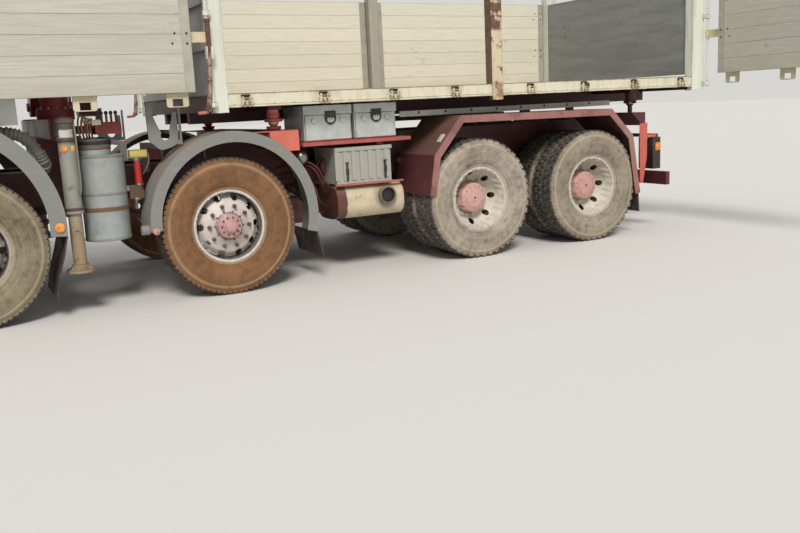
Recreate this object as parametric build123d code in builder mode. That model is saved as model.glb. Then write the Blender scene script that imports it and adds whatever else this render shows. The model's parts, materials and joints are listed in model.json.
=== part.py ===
"""Four-axle dump truck with a dropside load bed that tips to the rear and a folding loading crane
behind the cab. Millimetres. The truck's own frame has +X forward, +Y to its left and +Z up, with
x = 0 at the second axle, y = 0 on the centre line and z = 0 on the ground."""

import os
from math import copysign, cos, hypot, radians, sin

from build123d import *

os.makedirs("parts", exist_ok=True)

# Running clearances between pieces
fit_gap = 0.3
swing_gap = 10.0

# Axles and wheels
axle_x = {1: 1930.0, 2: 0.0, 3: -2433.0, 4: -3799.0}
tyre_r = 560.0
tyre_width = 320.0
bead_r = 285.0
flange_r = 297.0
rim_width = 230.0
front_wheel_y = 1075.0
dual_outer_y = 1095.0
dual_pitch = 350.0
hub_face_y = 1115.0
nave_r = 205.0
drum_r = 205.0
rear_hub_r = 140.0

# Steering
kingpin_y = 930.0
kingpin_r = 22.0
stub_r = 45.0

# Chassis frame
rail_half = 425.0
rail_low_z = 790.0
rail_depth = 280.0
rail_flange = 80.0
rail_wall = 9.0
cab_front_x = 3330.0
frame_front_x = cab_front_x - 180.0
frame_rear_x = -4700.0
rail_top_z = rail_low_z + rail_depth

# Tipping subframe, ball pivots and tipping cylinder
subframe_depth = 140.0
subframe_top_z = rail_top_z + subframe_depth
pivot_z = 1370.0
rear_pivot_x = -4550.0
front_pivot_x = -525.0
pivot_y = 960.0
ball_r = 45.0
lock_pin_r = 12.0
beam_top_z = 1290.0
ram_x = -3100.0
ram_z = 1130.0
ram_eye_z = 1500.0

# Load bed
bed_front_x = 65.0
bed_rear_x = -5300.0
post_out_y = 1265.0
post_depth = 100.0
front_post_w = 115.0
mid_post_w = 120.0
mid_post_x = -2630.0
rear_post_w = 165.0
tail_x = bed_rear_x + rear_post_w - 15
tail_low_z = 1635.0
tail_top_z = 2620.0
tail_pin_z = tail_top_z - 40
floor_z = 1600.0
floor_t = 6.0
floor_border_z = floor_z - 2
side_rail_low_z = 1504.0
side_rail_top_z = 1612.0
side_rail_out_y = 1270.0
post_low_z = 1465.0
bearer_depth = 94.0
bed_beam_low_z = 1380.0
bed_beam_y = 400.0

# Gates
gate_low_z = 1630.0
gate_height = 1000.0
gate_t = 45.0
gate_in_y = 1240.0
hinge_y = 1300.0
front_hinge_x = 85.0
rear_hinge_x = -5320.0
hinge_pin_r = 14.0
hinge_boss_r = 24.0
front_gate_gap = 145.0
front_gate_l = 2500.0
rear_gate_gap = 195.0
rear_gate_l = 2425.0
strap_h = 80.0
strap_rows = (370.0, 830.0)
keeper_w = 170.0
keeper_h = 107.0
front_clips_x = (-193.0, -865.0, -1530.0, -2160.0)
rear_clips_x = (-3003.0, -3657.0, -4311.0, -4965.0)

# Cab
cab_rear_x = 1480.0
cab_half = 1140.0
cab_low_z = 1450.0
cab_skirt_z = 1000.0
cab_roof_z = 2950.0
cab_wall = 45.0
cab_pivot_x = cab_front_x - 100.0
cab_pivot_z = 980.0
door_front_x = cab_front_x - 210.0
door_rear_x = 2250.0
door_top_z = 2820.0
waist_z = 2050.0
screen_top_x = cab_front_x - 115.0
roof_front_x = cab_front_x - 180.0
mirror_x = cab_front_x - 150.0
mirror_out_y = cab_half + 280.0
dash_rear_x = cab_front_x - 350.0
seat_front_x = cab_front_x - 710.0
seat_back_x = cab_front_x - 1250.0
seat_z = 1640.0

# Wheel arches
arch_1 = dict(x=2100.0, z=700.0, r=856.0, lip=120.0)
arch_2 = dict(x=-60.0, z=620.0, r=702.0, lip=88.0)
arch_in_y = 920.0
arch_out_y = 1250.0
arch_t = 6.0
arch_flat_z = 1436.0

# Air filter and its valve
filter_x = 915.0
filter_y = 985.0
filter_r = 172.0
filter_low_z = 540.0
filter_top_z = 1194.0
valve_x = 645.0

# Loading crane
leg_y = 1150.0
leg_r = 62.0
leg_top_z = 1490.0
leg_low_z = 780.0
foot_z = 335.0
beam_end_y = 1095.0
outrigger_x = 1170.0
column_x = 1100.0
column_y = 200.0
column_r = 110.0
luff_pin = (150.0, 2950.0)
elbow_pin = (-1050.0, 1600.0)
tip_pin = (1050.0, 3180.0)
luff_base = (-100.0, 1900.0)
luff_eye = (11.0, 2651.0)
luff_x = 1270.0
fold_base = (-392.0, 2687.0)
fold_eye = (-961.0, 1844.0)
fold_x = 870.0
fold_fork_half = 57.0
luff_eye_half = 40.0
rod_eye_r = 38.0
inner_boom_x = 1100.0
outer_boom_x = 660.0
boom_half = 90.0
boom_w = 140.0

# Row frame: the origin is the middle of the whole object's footprint, with its gates as they stand
front_x = cab_front_x + 90.0
rear_x = rear_hinge_x - hinge_boss_r
left_y = hinge_y + rear_gate_gap + rear_gate_l
right_y = -1420.0
mid_x = (front_x + rear_x) / 2
mid_y = (left_y + right_y) / 2


def save(part, name):
    """Writes one node, moved from the truck's own frame to the row frame."""
    moved = part.moved(Location((-mid_x, -mid_y, 0)))
    moved.label = name
    export_step(moved, f"parts/{name}.step")


def block(x, y, z, mode=Mode.ADD):
    """A box between two values on each axis."""
    with Locations(((x[0] + x[1]) / 2, (y[0] + y[1]) / 2, (z[0] + z[1]) / 2)):
        Box(abs(x[1] - x[0]), abs(y[1] - y[0]), abs(z[1] - z[0]), mode=mode)


def bar(start, end, radius, mode=Mode.ADD):
    """A round bar from one point to another."""
    way = Vector(*end) - Vector(*start)
    with BuildSketch(Plane(origin=start, z_dir=way)) as section:
        Circle(radius)
    extrude(section.sketch, amount=way.length, dir=way, mode=mode)


def side_plate(points, y0, y1, mode=Mode.ADD):
    """A profile of x and z points, extruded from y0 up to y1."""
    with BuildSketch(Plane.XZ.offset(-y0)) as section:
        Polygon(*points, align=None)
    extrude(section.sketch, amount=y1 - y0, dir=(0, 1, 0), mode=mode)


def cross_plate(points, x0, x1, mode=Mode.ADD):
    """A profile of y and z points, extruded from x0 up to x1."""
    with BuildSketch(Plane.YZ.offset(x0)) as section:
        Polygon(*points, align=None)
    extrude(section.sketch, amount=x1 - x0, dir=(1, 0, 0), mode=mode)


def ring(profile, mode=Mode.ADD):
    """A profile of radius and y points, turned about the Y axis."""
    with BuildSketch() as section:
        Polygon(*profile, align=None)
    revolve(section.sketch, axis=Axis.Y, mode=mode)


def both_sides(part):
    """A left-hand piece and its mirror image, as one node of separate solids."""
    return Part(children=[part, mirror(part, about=Plane.XZ)])


# Tyres and wheels, about the Y axis, with +Y outwards
half_tyre = tyre_width / 2
half_rim = rim_width / 2


def tyre_part(y):
    """One tyre: bead, round sidewalls, square shoulders and a slightly crowned tread."""
    with BuildPart() as tyre:
        with BuildSketch():
            with BuildLine():
                Polyline((bead_r + fit_gap, y - half_rim + 12), (flange_r + 14, y - half_rim + 2))
                ThreePointArc((flange_r + 14, y - half_rim + 2), (430, y - half_tyre), (tyre_r - 16, y - 138))
                Polyline((tyre_r - 16, y - 138), (tyre_r - 4, y - 118), (tyre_r, y - 50), (tyre_r, y + 50),
                         (tyre_r - 4, y + 118), (tyre_r - 16, y + 138))
                ThreePointArc((tyre_r - 16, y + 138), (430, y + half_tyre), (flange_r + 14, y + half_rim - 2))
                Polyline((flange_r + 14, y + half_rim - 2), (bead_r + fit_gap, y + half_rim - 12),
                         (bead_r + fit_gap, y - half_rim + 12))
            make_face()
        revolve(axis=Axis.Y)
    return tyre.part


def rim_barrel(y, side):
    """A rim barrel with its two flanges and its disc, whose nave lies on the given side of it."""
    in_r = bead_r - 14
    ring([(in_r, y - half_rim), (flange_r, y - half_rim), (flange_r, y - half_rim + 8), (bead_r, y - half_rim + 14),
          (bead_r, y + half_rim - 14), (flange_r, y + half_rim - 8), (flange_r, y + half_rim), (in_r, y + half_rim)])
    nave = y + side * (half_rim - 20)
    root = y + side * 5
    ring([(in_r + 2, root), (in_r + 2, root + side * 12), (nave_r, nave), (100, nave), (100, nave - side * 12),
          (nave_r - 4, nave - side * 12)])


def hand_holes(y, count):
    """The round hand holes through a wheel's disc."""
    with BuildSketch(Plane.XZ.offset(-(y - 90))) as holes:
        with PolarLocations(236, count):
            Circle(27)
    extrude(holes.sketch, amount=180, dir=(0, 1, 0), mode=Mode.SUBTRACT)


with BuildPart() as front_rim:
    rim_barrel(0, 1)
    hand_holes(40, 10)
    ring([(stub_r + fit_gap, -78), (drum_r, -78), (drum_r, -10), (120, 20), (120, 80), (100, 92), (100, 128), (90, 138),
          (0, 138), (0, 124), (stub_r + fit_gap, 124)])
front_tyre = tyre_part(0)

dual_mid_y = dual_outer_y - dual_pitch / 2
axle_tube_r = 75.0
with BuildPart() as rear_rims:
    for wheel_y, disc_side in ((dual_outer_y, -1), (dual_outer_y - dual_pitch, 1)):
        rim_barrel(wheel_y, disc_side)
    hand_holes(dual_mid_y, 8)
    ring([(axle_tube_r + fit_gap, 640), (drum_r, 640), (drum_r, dual_mid_y), (165, dual_mid_y + 20),
          (165, dual_mid_y + 45), (rear_hub_r, dual_mid_y + 60), (rear_hub_r, hub_face_y - 12),
          (rear_hub_r - 12, hub_face_y), (0, hub_face_y), (0, hub_face_y - 25), (axle_tube_r + fit_gap, hub_face_y - 25)])
rear_tyres = [tyre_part(dual_outer_y), tyre_part(dual_outer_y - dual_pitch)]

for axle in (1, 2):
    wheel = Part(children=[front_rim.part, front_tyre]).moved(Location((axle_x[axle], front_wheel_y, tyre_r)))
    save(wheel, f"wheel_{axle}_left")
    save(mirror(wheel, about=Plane.XZ), f"wheel_{axle}_right")
for axle in (3, 4):
    wheel = Part(children=[rear_rims.part, *rear_tyres]).moved(Location((axle_x[axle], 0, tyre_r)))
    save(wheel, f"wheel_{axle}_left")
    save(mirror(wheel, about=Plane.XZ), f"wheel_{axle}_right")

# Steering knuckles: two ears on the kingpin, a stub axle and the brake's back plate
boss_r = 45.0
boss_half = 60.0
for axle in (1, 2):
    x = axle_x[axle]
    with BuildPart() as knuckle:
        ear = boss_half + 40
        for low, high in ((tyre_r - ear, tyre_r - boss_half - 3), (tyre_r + boss_half + 3, tyre_r + ear)):
            bar((x, kingpin_y, low), (x, kingpin_y, high), boss_r)
            block((x - 40, x + 40), (kingpin_y, kingpin_y + 55), (low, high))
        bar((x, kingpin_y, tyre_r - ear), (x, kingpin_y, tyre_r + ear), kingpin_r)
        block((x - 45, x + 45), (kingpin_y + 48, kingpin_y + 58), (tyre_r - ear, tyre_r + ear))
        bar((x, kingpin_y + 50, tyre_r), (x, kingpin_y + 60, tyre_r), drum_r - 8)
        bar((x, kingpin_y + 48, tyre_r), (x, front_wheel_y + 120, tyre_r), stub_r)
    save(knuckle.part, f"knuckle_{axle}_left")
    save(mirror(knuckle.part, about=Plane.XZ), f"knuckle_{axle}_right")

# Front axle beams, dropped in the middle, with a boss at each end for the kingpin
beam_half = 45.0
spring_y = 385.0
front_beams = []
for axle in (1, 2):
    x = axle_x[axle]
    with BuildPart() as front_beam:
        cross_plate([(-(kingpin_y - 20), tyre_r + 45), (-720, tyre_r + 35), (-520, 480), (520, 480), (720, tyre_r + 35),
                     (kingpin_y - 20, tyre_r + 45), (kingpin_y - 20, tyre_r - 45), (740, tyre_r - 60), (540, 380),
                     (-540, 380), (-740, tyre_r - 60), (-(kingpin_y - 20), tyre_r - 45)], x - beam_half, x + beam_half)
        for side in (-1, 1):
            bar((x, side * kingpin_y, tyre_r - boss_half), (x, side * kingpin_y, tyre_r + boss_half), boss_r)
            block((x - 110, x + 110), (side * (spring_y - 50), side * (spring_y + 50)), (470, 500))
            bar((x, side * kingpin_y, tyre_r - boss_half), (x, side * kingpin_y, tyre_r + boss_half),
                kingpin_r + fit_gap, Mode.SUBTRACT)
    front_beams.append(front_beam.part)

# Rear axles: a banjo housing with its drive unit and the two half tubes
diff_r = 205.0
rear_spring_y = 510.0
spring_pad_z = 704.0
rear_axles = []
for axle in (3, 4):
    x = axle_x[axle]
    with BuildPart() as rear_axle:
        bar((x, -hub_face_y + 26, tyre_r), (x, hub_face_y - 26, tyre_r), axle_tube_r)
        with Locations((x, 0, tyre_r)):
            Sphere(diff_r)
        bar((x, 0, tyre_r + 40), (x + 330, 0, tyre_r + 40), 95)
        bar((x, 0, tyre_r + 40), (x - 280, 0, tyre_r + 40), 80)
        for side in (-1, 1):
            block((x - 90, x + 90), (side * (rear_spring_y - 45), side * (rear_spring_y + 45)), (tyre_r, tyre_r + 95))
            block((x - 40, x + 40), (side * (rear_spring_y - 45), side * (rear_spring_y + 45)), (tyre_r, spring_pad_z))
            bar((x, side * 600, tyre_r), (x, side * (640 - fit_gap), tyre_r), 190)
    rear_axles.append(rear_axle.part)
save(Part(children=front_beams + rear_axles), "axles")

# Leaf springs: a stack of leaves bent to one centre, each shorter than the one above it
def leaf_pack(x, y, seat_z, half_length, rise, count, up):
    """Leaves whose middle is at seat_z and whose ends are higher, or lower with up set to -1."""
    leaf_t = 16.0
    radius = (half_length**2 + rise**2) / (2 * rise)
    for i in range(count):
        reach = half_length * (1 - 0.14 * i)
        near = radius - i * leaf_t if up > 0 else radius - i * leaf_t
        sag = near - (near**2 - reach**2) ** 0.5
        middle = seat_z + up * (count - i) * leaf_t - up * leaf_t * count
        with BuildSketch(Plane.XZ.offset(-(y - 40))) as leaf:
            with BuildLine():
                a = (x - reach, middle + up * sag)
                b = (x + reach, middle + up * sag)
                ThreePointArc(a, (x, middle), b)
                Line(b, (x + reach, middle + up * (sag - leaf_t - 2)))
                ThreePointArc((x + reach, middle + up * (sag - leaf_t - 2)), (x, middle - up * (leaf_t + 2)),
                              (x - reach, middle + up * (sag - leaf_t - 2)))
                Line((x - reach, middle + up * (sag - leaf_t - 2)), a)
            make_face()
        extrude(leaf.sketch, amount=80, dir=(0, 1, 0))


springs = []
for axle in (1, 2):
    x = axle_x[axle]
    with BuildPart() as front_spring:
        leaf_pack(x, spring_y, 500 + 4 * 16 + 3, 760, 150, 4, 1)
        for end in (-1, 1):
            block((x + end * 760 - 45, x + end * 760 + 45), (spring_y - 36, spring_y + 36), (680, rail_low_z))
        block((x - 60, x + 60), (spring_y - 42, spring_y + 42), (500 + fit_gap, 590))
    springs.append(front_spring.part)
bogie_x = (axle_x[3] + axle_x[4]) / 2
half_bogie = (axle_x[3] - axle_x[4]) / 2
with BuildPart() as rear_spring:
    leaf_pack(bogie_x, rear_spring_y, 790, half_bogie + 60, 90, 5, -1)
    block((bogie_x - 70, bogie_x + 70), (rear_spring_y - 44, rear_spring_y + 44), (480, 860))
    bar((bogie_x, rail_half - 40, 560), (bogie_x, rear_spring_y + 44, 560), 70)
    side_plate([(bogie_x - 220, rail_low_z), (bogie_x + 220, rail_low_z), (bogie_x + 80, 490), (bogie_x - 80, 490)],
               rail_half - 60, rail_half - 30)
springs.append(rear_spring.part)
save(Part(children=[s for one in springs for s in (one, mirror(one, about=Plane.XZ))]), "leaf_springs")

# Chassis frame: two channel rails and their cross-members
with BuildPart() as chassis:
    with BuildSketch(Plane.YZ.offset(frame_rear_x)):
        Polygon((rail_half, rail_low_z), (rail_half, rail_top_z), (rail_half - rail_flange, rail_top_z),
                (rail_half - rail_flange, rail_top_z - rail_wall), (rail_half - rail_wall, rail_top_z - rail_wall),
                (rail_half - rail_wall, rail_low_z + rail_wall), (rail_half - rail_flange, rail_low_z + rail_wall),
                (rail_half - rail_flange, rail_low_z), align=None)
    extrude(amount=frame_front_x - frame_rear_x)
    mirror(about=Plane.XZ)
    inside = rail_half - rail_wall / 2
    for x in (-4600, -3700, -2500, -1500, 650):
        block((x - 60, x + 60), (-inside, inside), (rail_low_z + 140, rail_low_z + 260))
        block((x - 40, x + 70), (-inside + 20, inside - 20), (rail_low_z + 155, rail_low_z + 245), Mode.SUBTRACT)
    block((frame_front_x - 60, frame_front_x), (-inside, inside), (rail_low_z, rail_low_z + 220))
    for side in (-1, 1):
        side_plate([(frame_front_x - 250, rail_low_z + 20), (frame_front_x, rail_low_z + 20), (cab_pivot_x + 40, cab_pivot_z - 50),
                    (cab_pivot_x + 40, cab_pivot_z + 40), (cab_pivot_x - 40, cab_pivot_z + 40),
                    (frame_front_x - 100, rail_top_z - 20)], *sorted((side * 365, side * 417)))
        bar((cab_pivot_x, side * 300, cab_pivot_z), (cab_pivot_x, side * 370, cab_pivot_z), 20)
save(chassis.part, "chassis_frame")

# Engine and gearbox, as one plain heavy block
with BuildPart() as engine:
    block((frame_front_x - 1450, frame_front_x - 190), (-330, 330), (700, 1360))
    block((820, frame_front_x - 1450), (-210, 210), (700, 1050))
    for side in (-1, 1):
        block((frame_front_x - 590, frame_front_x - 470), (side * 330, side * (rail_half - rail_flange - 1)), (rail_low_z + 20, rail_low_z + 140))
save(engine.part, "engine_block")

# Propeller shafts with their joint flanges
shaft_z = tyre_r + 40
shafts = []
for front_end, rear_end, radius in (((820 - 30 - fit_gap, 880), (axle_x[3] + 360 + fit_gap, shaft_z), 50),
                                    ((axle_x[3] - 310 - fit_gap, shaft_z), (axle_x[4] + 360 + fit_gap, shaft_z), 42)):
    with BuildPart() as shaft:
        bar((front_end[0], 0, front_end[1]), (rear_end[0], 0, rear_end[1]), radius)
        bar((front_end[0], 0, front_end[1]), (front_end[0] + 30, 0, front_end[1]), 80)
        bar((rear_end[0], 0, rear_end[1]), (rear_end[0] - 30, 0, rear_end[1]), 80)
    shafts.append(shaft.part)
save(Part(children=shafts), "propeller_shafts")

# Tipping subframe: two rails, two cross-beams with ball pivots, the cylinder's cradle and the long
# slotted side rails that join the beams
with BuildPart() as subframe:
    for side in (-1, 1):
        block((frame_rear_x, 300), (side * (rail_half - 75), side * rail_half), (rail_top_z + fit_gap, subframe_top_z))
    for x in (-3800, -1500):
        block((x - 50, x + 50), (-rail_half, rail_half), (rail_top_z + 20, subframe_top_z - 10))
    for pivot_x in (front_pivot_x, rear_pivot_x):
        top = beam_top_z if pivot_x > rear_pivot_x else beam_top_z - 28
        back = 165 if pivot_x > rear_pivot_x else 85
        side_plate([(pivot_x + 90, top), (pivot_x - back, top), (pivot_x - back, 1125), (pivot_x - 50, 1125),
                    (pivot_x + 90, 1245)], -pivot_y - 140, pivot_y + 140)
        if pivot_x > rear_pivot_x:
            block((pivot_x - back, pivot_x + 235), (-pivot_y - 130, pivot_y + 130), (top - 1, top + 8))
        for side in (-1, 1):
            bar((pivot_x, side * pivot_y, beam_top_z - 60), (pivot_x, side * pivot_y, pivot_z), 24)
            with Locations((pivot_x, side * pivot_y, pivot_z)):
                Sphere(ball_r)
            if pivot_x == rear_pivot_x:
                bar((pivot_x, side * (pivot_y - ball_r), pivot_z), (pivot_x, side * (pivot_y + ball_r), pivot_z),
                    lock_pin_r + fit_gap, Mode.SUBTRACT)
    for side in (-1, 1):
        block((ram_x - 60, ram_x + 60), (side * 170, side * (rail_half - 70)), (ram_z - 55, ram_z + 60))
        bar((ram_x, side * 120, ram_z), (ram_x, side * 175, ram_z), 26)
        side_plate([(-1730, 1352), (-4235, 1352), (-4235, 1402), (-1730, 1402)], *sorted((side * 985, side * 993)))
        for x in (-1760, -4200):
            block((x - 30, x + 30), (side * (rail_half - 70), side * 986), (1352, 1360))
            block((x - 30, x + 30), (side * (rail_half - 70), side * rail_half), (subframe_top_z - 10, 1358))
save(subframe.part, "tipping_subframe")

# Tipping cylinder: outer tube on trunnions, one inner stage and the rod with its eye
ram_tube_low = 800.0
ram_tube_top = 1400.0
with BuildPart() as ram_tube:
    bar((ram_x, 0, ram_tube_low), (ram_x, 0, ram_tube_top), 100)
    bar((ram_x, -165, ram_z), (ram_x, 165, ram_z), 45)
    bar((ram_x, 0, ram_tube_low + 20), (ram_x, 0, ram_tube_top), 85 + fit_gap, Mode.SUBTRACT)
    bar((ram_x, -165, ram_z), (ram_x, -115, ram_z), 26 + fit_gap, Mode.SUBTRACT)
    bar((ram_x, 115, ram_z), (ram_x, 165, ram_z), 26 + fit_gap, Mode.SUBTRACT)
save(ram_tube.part, "tipping_cylinder")
with BuildPart() as ram_stage:
    bar((ram_x, 0, ram_tube_low + 30), (ram_x, 0, ram_tube_top + 15), 85)
    bar((ram_x, 0, ram_tube_low + 45), (ram_x, 0, ram_tube_top + 15), 60 + fit_gap, Mode.SUBTRACT)
save(ram_stage.part, "tipping_cylinder_stage")
with BuildPart() as ram_rod:
    bar((ram_x, 0, ram_tube_low + 55), (ram_x, 0, ram_eye_z - 100), 60)
    block((ram_x - 30, ram_x + 30), (-30, 30), (ram_eye_z - 105, ram_eye_z))
    bar((ram_x, -44, ram_eye_z), (ram_x, 44, ram_eye_z), 32)
save(ram_rod.part, "tipping_cylinder_rod")

# Load bed: floor plate, side rails, cross-bearers, two long beams, ball sockets and the rod bracket
bearers_x = [-4960 + i * 440 for i in range(12)]
with BuildPart() as bed:
    block((bed_rear_x + 10, bed_front_x - 10), (-post_out_y + 60, post_out_y - 60), (floor_z - floor_t, floor_border_z))
    block((tail_x + 10, 5), (-post_out_y + post_depth + 5, post_out_y - post_depth - 5), (floor_z - floor_t, floor_z))
    for side in (-1, 1):
        for ends in ((bed_rear_x + rear_post_w, mid_post_x - mid_post_w / 2),
                     (mid_post_x + mid_post_w / 2, bed_front_x - front_post_w)):
            cross_plate([(side * y, z) for y, z in (
                (post_out_y - 65, side_rail_low_z), (side_rail_out_y, side_rail_low_z),
                (side_rail_out_y, side_rail_low_z + 8), (side_rail_out_y - 8, side_rail_low_z + 14),
                (side_rail_out_y - 8, side_rail_top_z - 6), (side_rail_out_y, side_rail_top_z),
                (post_out_y - 65, side_rail_top_z))], *ends)
        block((bed_rear_x + 60, bed_front_x - 20), (side * (bed_beam_y - 40), side * (bed_beam_y + 40)),
              (bed_beam_low_z, floor_z - floor_t))
        for x in front_clips_x + rear_clips_x:
            block((x - 24, x + 24), (side * (side_rail_out_y - 12), side * (side_rail_out_y + 22)), (1538, 1566))
    for x in bearers_x:
        block((x - 35, x + 35), (-post_out_y + 62, post_out_y - 62), (floor_z - floor_t - bearer_depth, floor_z - floor_t))
    for x in (bed_front_x - 60, bed_rear_x + 60):
        block((x - 50, x + 50), (-post_out_y + 62, post_out_y - 62), (side_rail_low_z - 30, floor_z - floor_t))
    for x in (front_pivot_x, rear_pivot_x):
        block((x - 60, x + 60), (-pivot_y - 60, pivot_y + 60), (1470, floor_z - floor_t))
        for side in (-1, 1):
            bar((x, side * pivot_y, pivot_z), (x, side * pivot_y, 1480), 50)
            bar((x, side * pivot_y, pivot_z), (x, side * pivot_y, pivot_z + 22), 66)
            with Locations((x, side * pivot_y, pivot_z)):
                Sphere(ball_r + fit_gap, mode=Mode.SUBTRACT)
            if x == rear_pivot_x:
                bar((x, side * (pivot_y - 85), pivot_z), (x, side * (pivot_y + 85), pivot_z), lock_pin_r)
    block((ram_x - 90, ram_x + 90), (-bed_beam_y, bed_beam_y), (floor_z - 40, floor_z - floor_t))
    for side in (-1, 1):
        side_plate([(ram_x - 80, floor_z - 30), (ram_x + 80, floor_z - 30), (ram_x + 45, ram_eye_z - 45),
                    (ram_x - 45, ram_eye_z - 45)], *sorted((side * 50, side * 68)))
    block((ram_x - 70, ram_x + 70), (-49, 49), (ram_eye_z + 62, floor_z - 2 * floor_t - 1), Mode.SUBTRACT)
save(bed.part, "bed_frame")

# Headboard with its ribs
with BuildPart() as headboard:
    block((10, 40), (-post_out_y + post_depth + 2, post_out_y - post_depth - 2), (floor_border_z + fit_gap, 2700))
    for z in (1640, 1990, 2340, 2660):
        block((40, 62), (-post_out_y + post_depth + 2, post_out_y - post_depth - 2), (z - 30, z + 30))

# Posts: box sections at the bed's corners and middle, with hinge pins on the corner ones
posts = []
for x, width, top, pin_x in (
    (bed_front_x - front_post_w / 2, front_post_w, 2700, front_hinge_x),
    (mid_post_x, mid_post_w, 2660, None),
    (bed_rear_x + rear_post_w / 2, rear_post_w, 2700, rear_hinge_x),
):
    with BuildPart() as post:
        block((x - width / 2, x + width / 2), (post_out_y - post_depth, post_out_y), (post_low_z, top))
        block((x - width / 2 - 1, x + width / 2 + 1), (post_out_y - 59, post_out_y - post_depth - 1),
              (side_rail_low_z - 31, floor_z + 0.5), Mode.SUBTRACT)
        if pin_x:
            end = 1 if pin_x > 0 else -1
            bar((pin_x, hinge_y, 1500), (pin_x, hinge_y, 2650), hinge_pin_r)
            for z in (1510, 2200, 2600):
                bar((pin_x, hinge_y, z), (pin_x, hinge_y, z + 40), hinge_boss_r)
                block((pin_x - end * 40, pin_x), (post_out_y - 20, hinge_y), (z, z + 40))
    posts.append(post.part)
save(Part(children=[headboard.part, *(p for one in posts for p in (one, mirror(one, about=Plane.XZ)))]), "posts_and_headboard")


def gate(gap, length, clips):
    """A closed left-hand gate about its hinge at the origin: it points to +X, with its inner face to -Y.
    Clips are the distances of its keepers from the hinge."""
    inner, outer = gate_in_y - hinge_y, gate_in_y + gate_t - hinge_y
    with BuildPart() as panel:
        block((gap, gap + length), (inner, outer - 8), (0, gate_height))
        for x in (gap + 37, gap + length - 37):
            block((x - 37, x + 37), (inner, outer), (0, gate_height))
        for z in (35, gate_height - 35):
            block((gap, gap + length), (inner, outer), (z - 35, z + 35))
        for z in strap_rows:
            block((0, gap + 220), (outer, outer + 8), (z, z + strap_h))
            bar((0, 0, z), (0, 0, z + strap_h), hinge_boss_r)
            bar((0, 0, z - 1), (0, 0, z + strap_h + 1), hinge_pin_r + fit_gap, Mode.SUBTRACT)
        for x in clips:
            side_plate([(x - keeper_w / 2, 0), (x + keeper_w / 2, 0), (x + keeper_w / 2, -keeper_h + 12),
                        (x + keeper_w / 2 - 14, -keeper_h), (x - keeper_w / 2 + 14, -keeper_h),
                        (x - keeper_w / 2, -keeper_h + 12)], outer - 8, outer)
            block((x - 38, x + 38), (outer - 9, outer + 1), (-98, -45), Mode.SUBTRACT)
    return panel.part


front_clip_reach = [front_hinge_x - x for x in front_clips_x]
rear_clip_reach = [x - rear_hinge_x for x in rear_clips_x]
front_gate = mirror(gate(front_gate_gap, front_gate_l, front_clip_reach), about=Plane.YZ)
rear_gate = gate(rear_gate_gap, rear_gate_l, rear_clip_reach)
front_closed = front_gate.moved(Location((front_hinge_x, hinge_y, gate_low_z)))
rear_closed = rear_gate.moved(Location((rear_hinge_x, hinge_y, gate_low_z)))
front_open = front_gate.moved(Location((front_hinge_x, hinge_y, gate_low_z), (0, 0, 180)))
rear_open = rear_gate.moved(Location((rear_hinge_x, hinge_y, gate_low_z), (0, 0, 90)))
save(front_open, "gate_front_left")
save(rear_open, "gate_rear_left")
save(mirror(front_closed, about=Plane.XZ), "gate_front_right")
save(mirror(rear_closed, about=Plane.XZ), "gate_rear_right")

# Tailgate, hung from pins at the tops of the rear posts
tail_half = post_out_y - post_depth - swing_gap
with BuildPart() as tailgate:
    block((tail_x - 42, tail_x), (-tail_half, tail_half), (tail_low_z, tail_top_z))
    for z in (tail_low_z + 35, (tail_low_z + tail_top_z) / 2, tail_top_z - 30):
        block((tail_x - 56, tail_x - 40), (-tail_half, tail_half), (z - 30, z + 30))
    for side in (-1, 1):
        for y in (tail_half - 40, 400):
            block((tail_x - 56, tail_x - 40), (side * (y - 40), side * (y + 40)), (tail_low_z + 5, tail_top_z))
        bar((tail_x - 28, side * (tail_half - 5), tail_pin_z),
            (tail_x - 28, side * (tail_half + swing_gap - fit_gap), tail_pin_z), 16)
save(tailgate.part, "tailgate")

# Bolt-on equipment along the left side of the chassis
shelf_x = (-1770.0, -720.0)
locker_split_x = -1190.0
with BuildPart() as lockers:
    for x0, x1 in ((shelf_x[0] + 140, locker_split_x - 30), (locker_split_x, -745)):
        block((x0, x1), (640, 1085), (1182 + fit_gap, 1485))
        block((x0 + 12, x1 - 12), (1080, 1098), (1194, 1404))
        block((x0 - 4, x1 + 4), (640, 1104), (1412, 1488))
        for x in (x0 + 90, x1 - 90):
            bar((x, 1095, 1360), (x, 1112, 1360), 22)
    block(shelf_x, (600, 1108), (1150, 1182))
    for x in (shelf_x[0] + 60, locker_split_x, shelf_x[1] - 80):
        block((x - 30, x + 30), (rail_half + fit_gap, 604), (1000, 1181))
save(lockers.part, "lockers")

with BuildPart() as battery_box:
    block((-1567, -1025), (620, 1080), (800, 1110))
    for i in range(7):
        x = -1540 + i * 81
        block((x, x + 40), (1078, 1090), (830, 1085))
    block((-1560, -1030), (rail_half + fit_gap, 640), (830, 870))
    block((-1575, -1017), (612, 1094), (1086, 1118))
save(battery_box.part, "battery_box")

with BuildPart() as silencer:
    with BuildSketch(Plane.YZ.offset(-1685)) as shell:
        with Locations((860, 632)):
            RectangleRounded(450, 295, 120)
    extrude(shell.sketch, amount=665, dir=(1, 0, 0))
    bar((-1500, 1075, 673), (-1500, 1128, 673), 78)
    bar((-1500, 1100, 673), (-1500, 1129, 673), 66, Mode.SUBTRACT)
    for x in (-1600, -1180):
        block((x - 25, x + 25), (rail_half - 60, 650), (750, rail_low_z - fit_gap))
        block((x - 25, x + 25), (600, 870), (775, 792))
save(silencer.part, "silencer")

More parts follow.
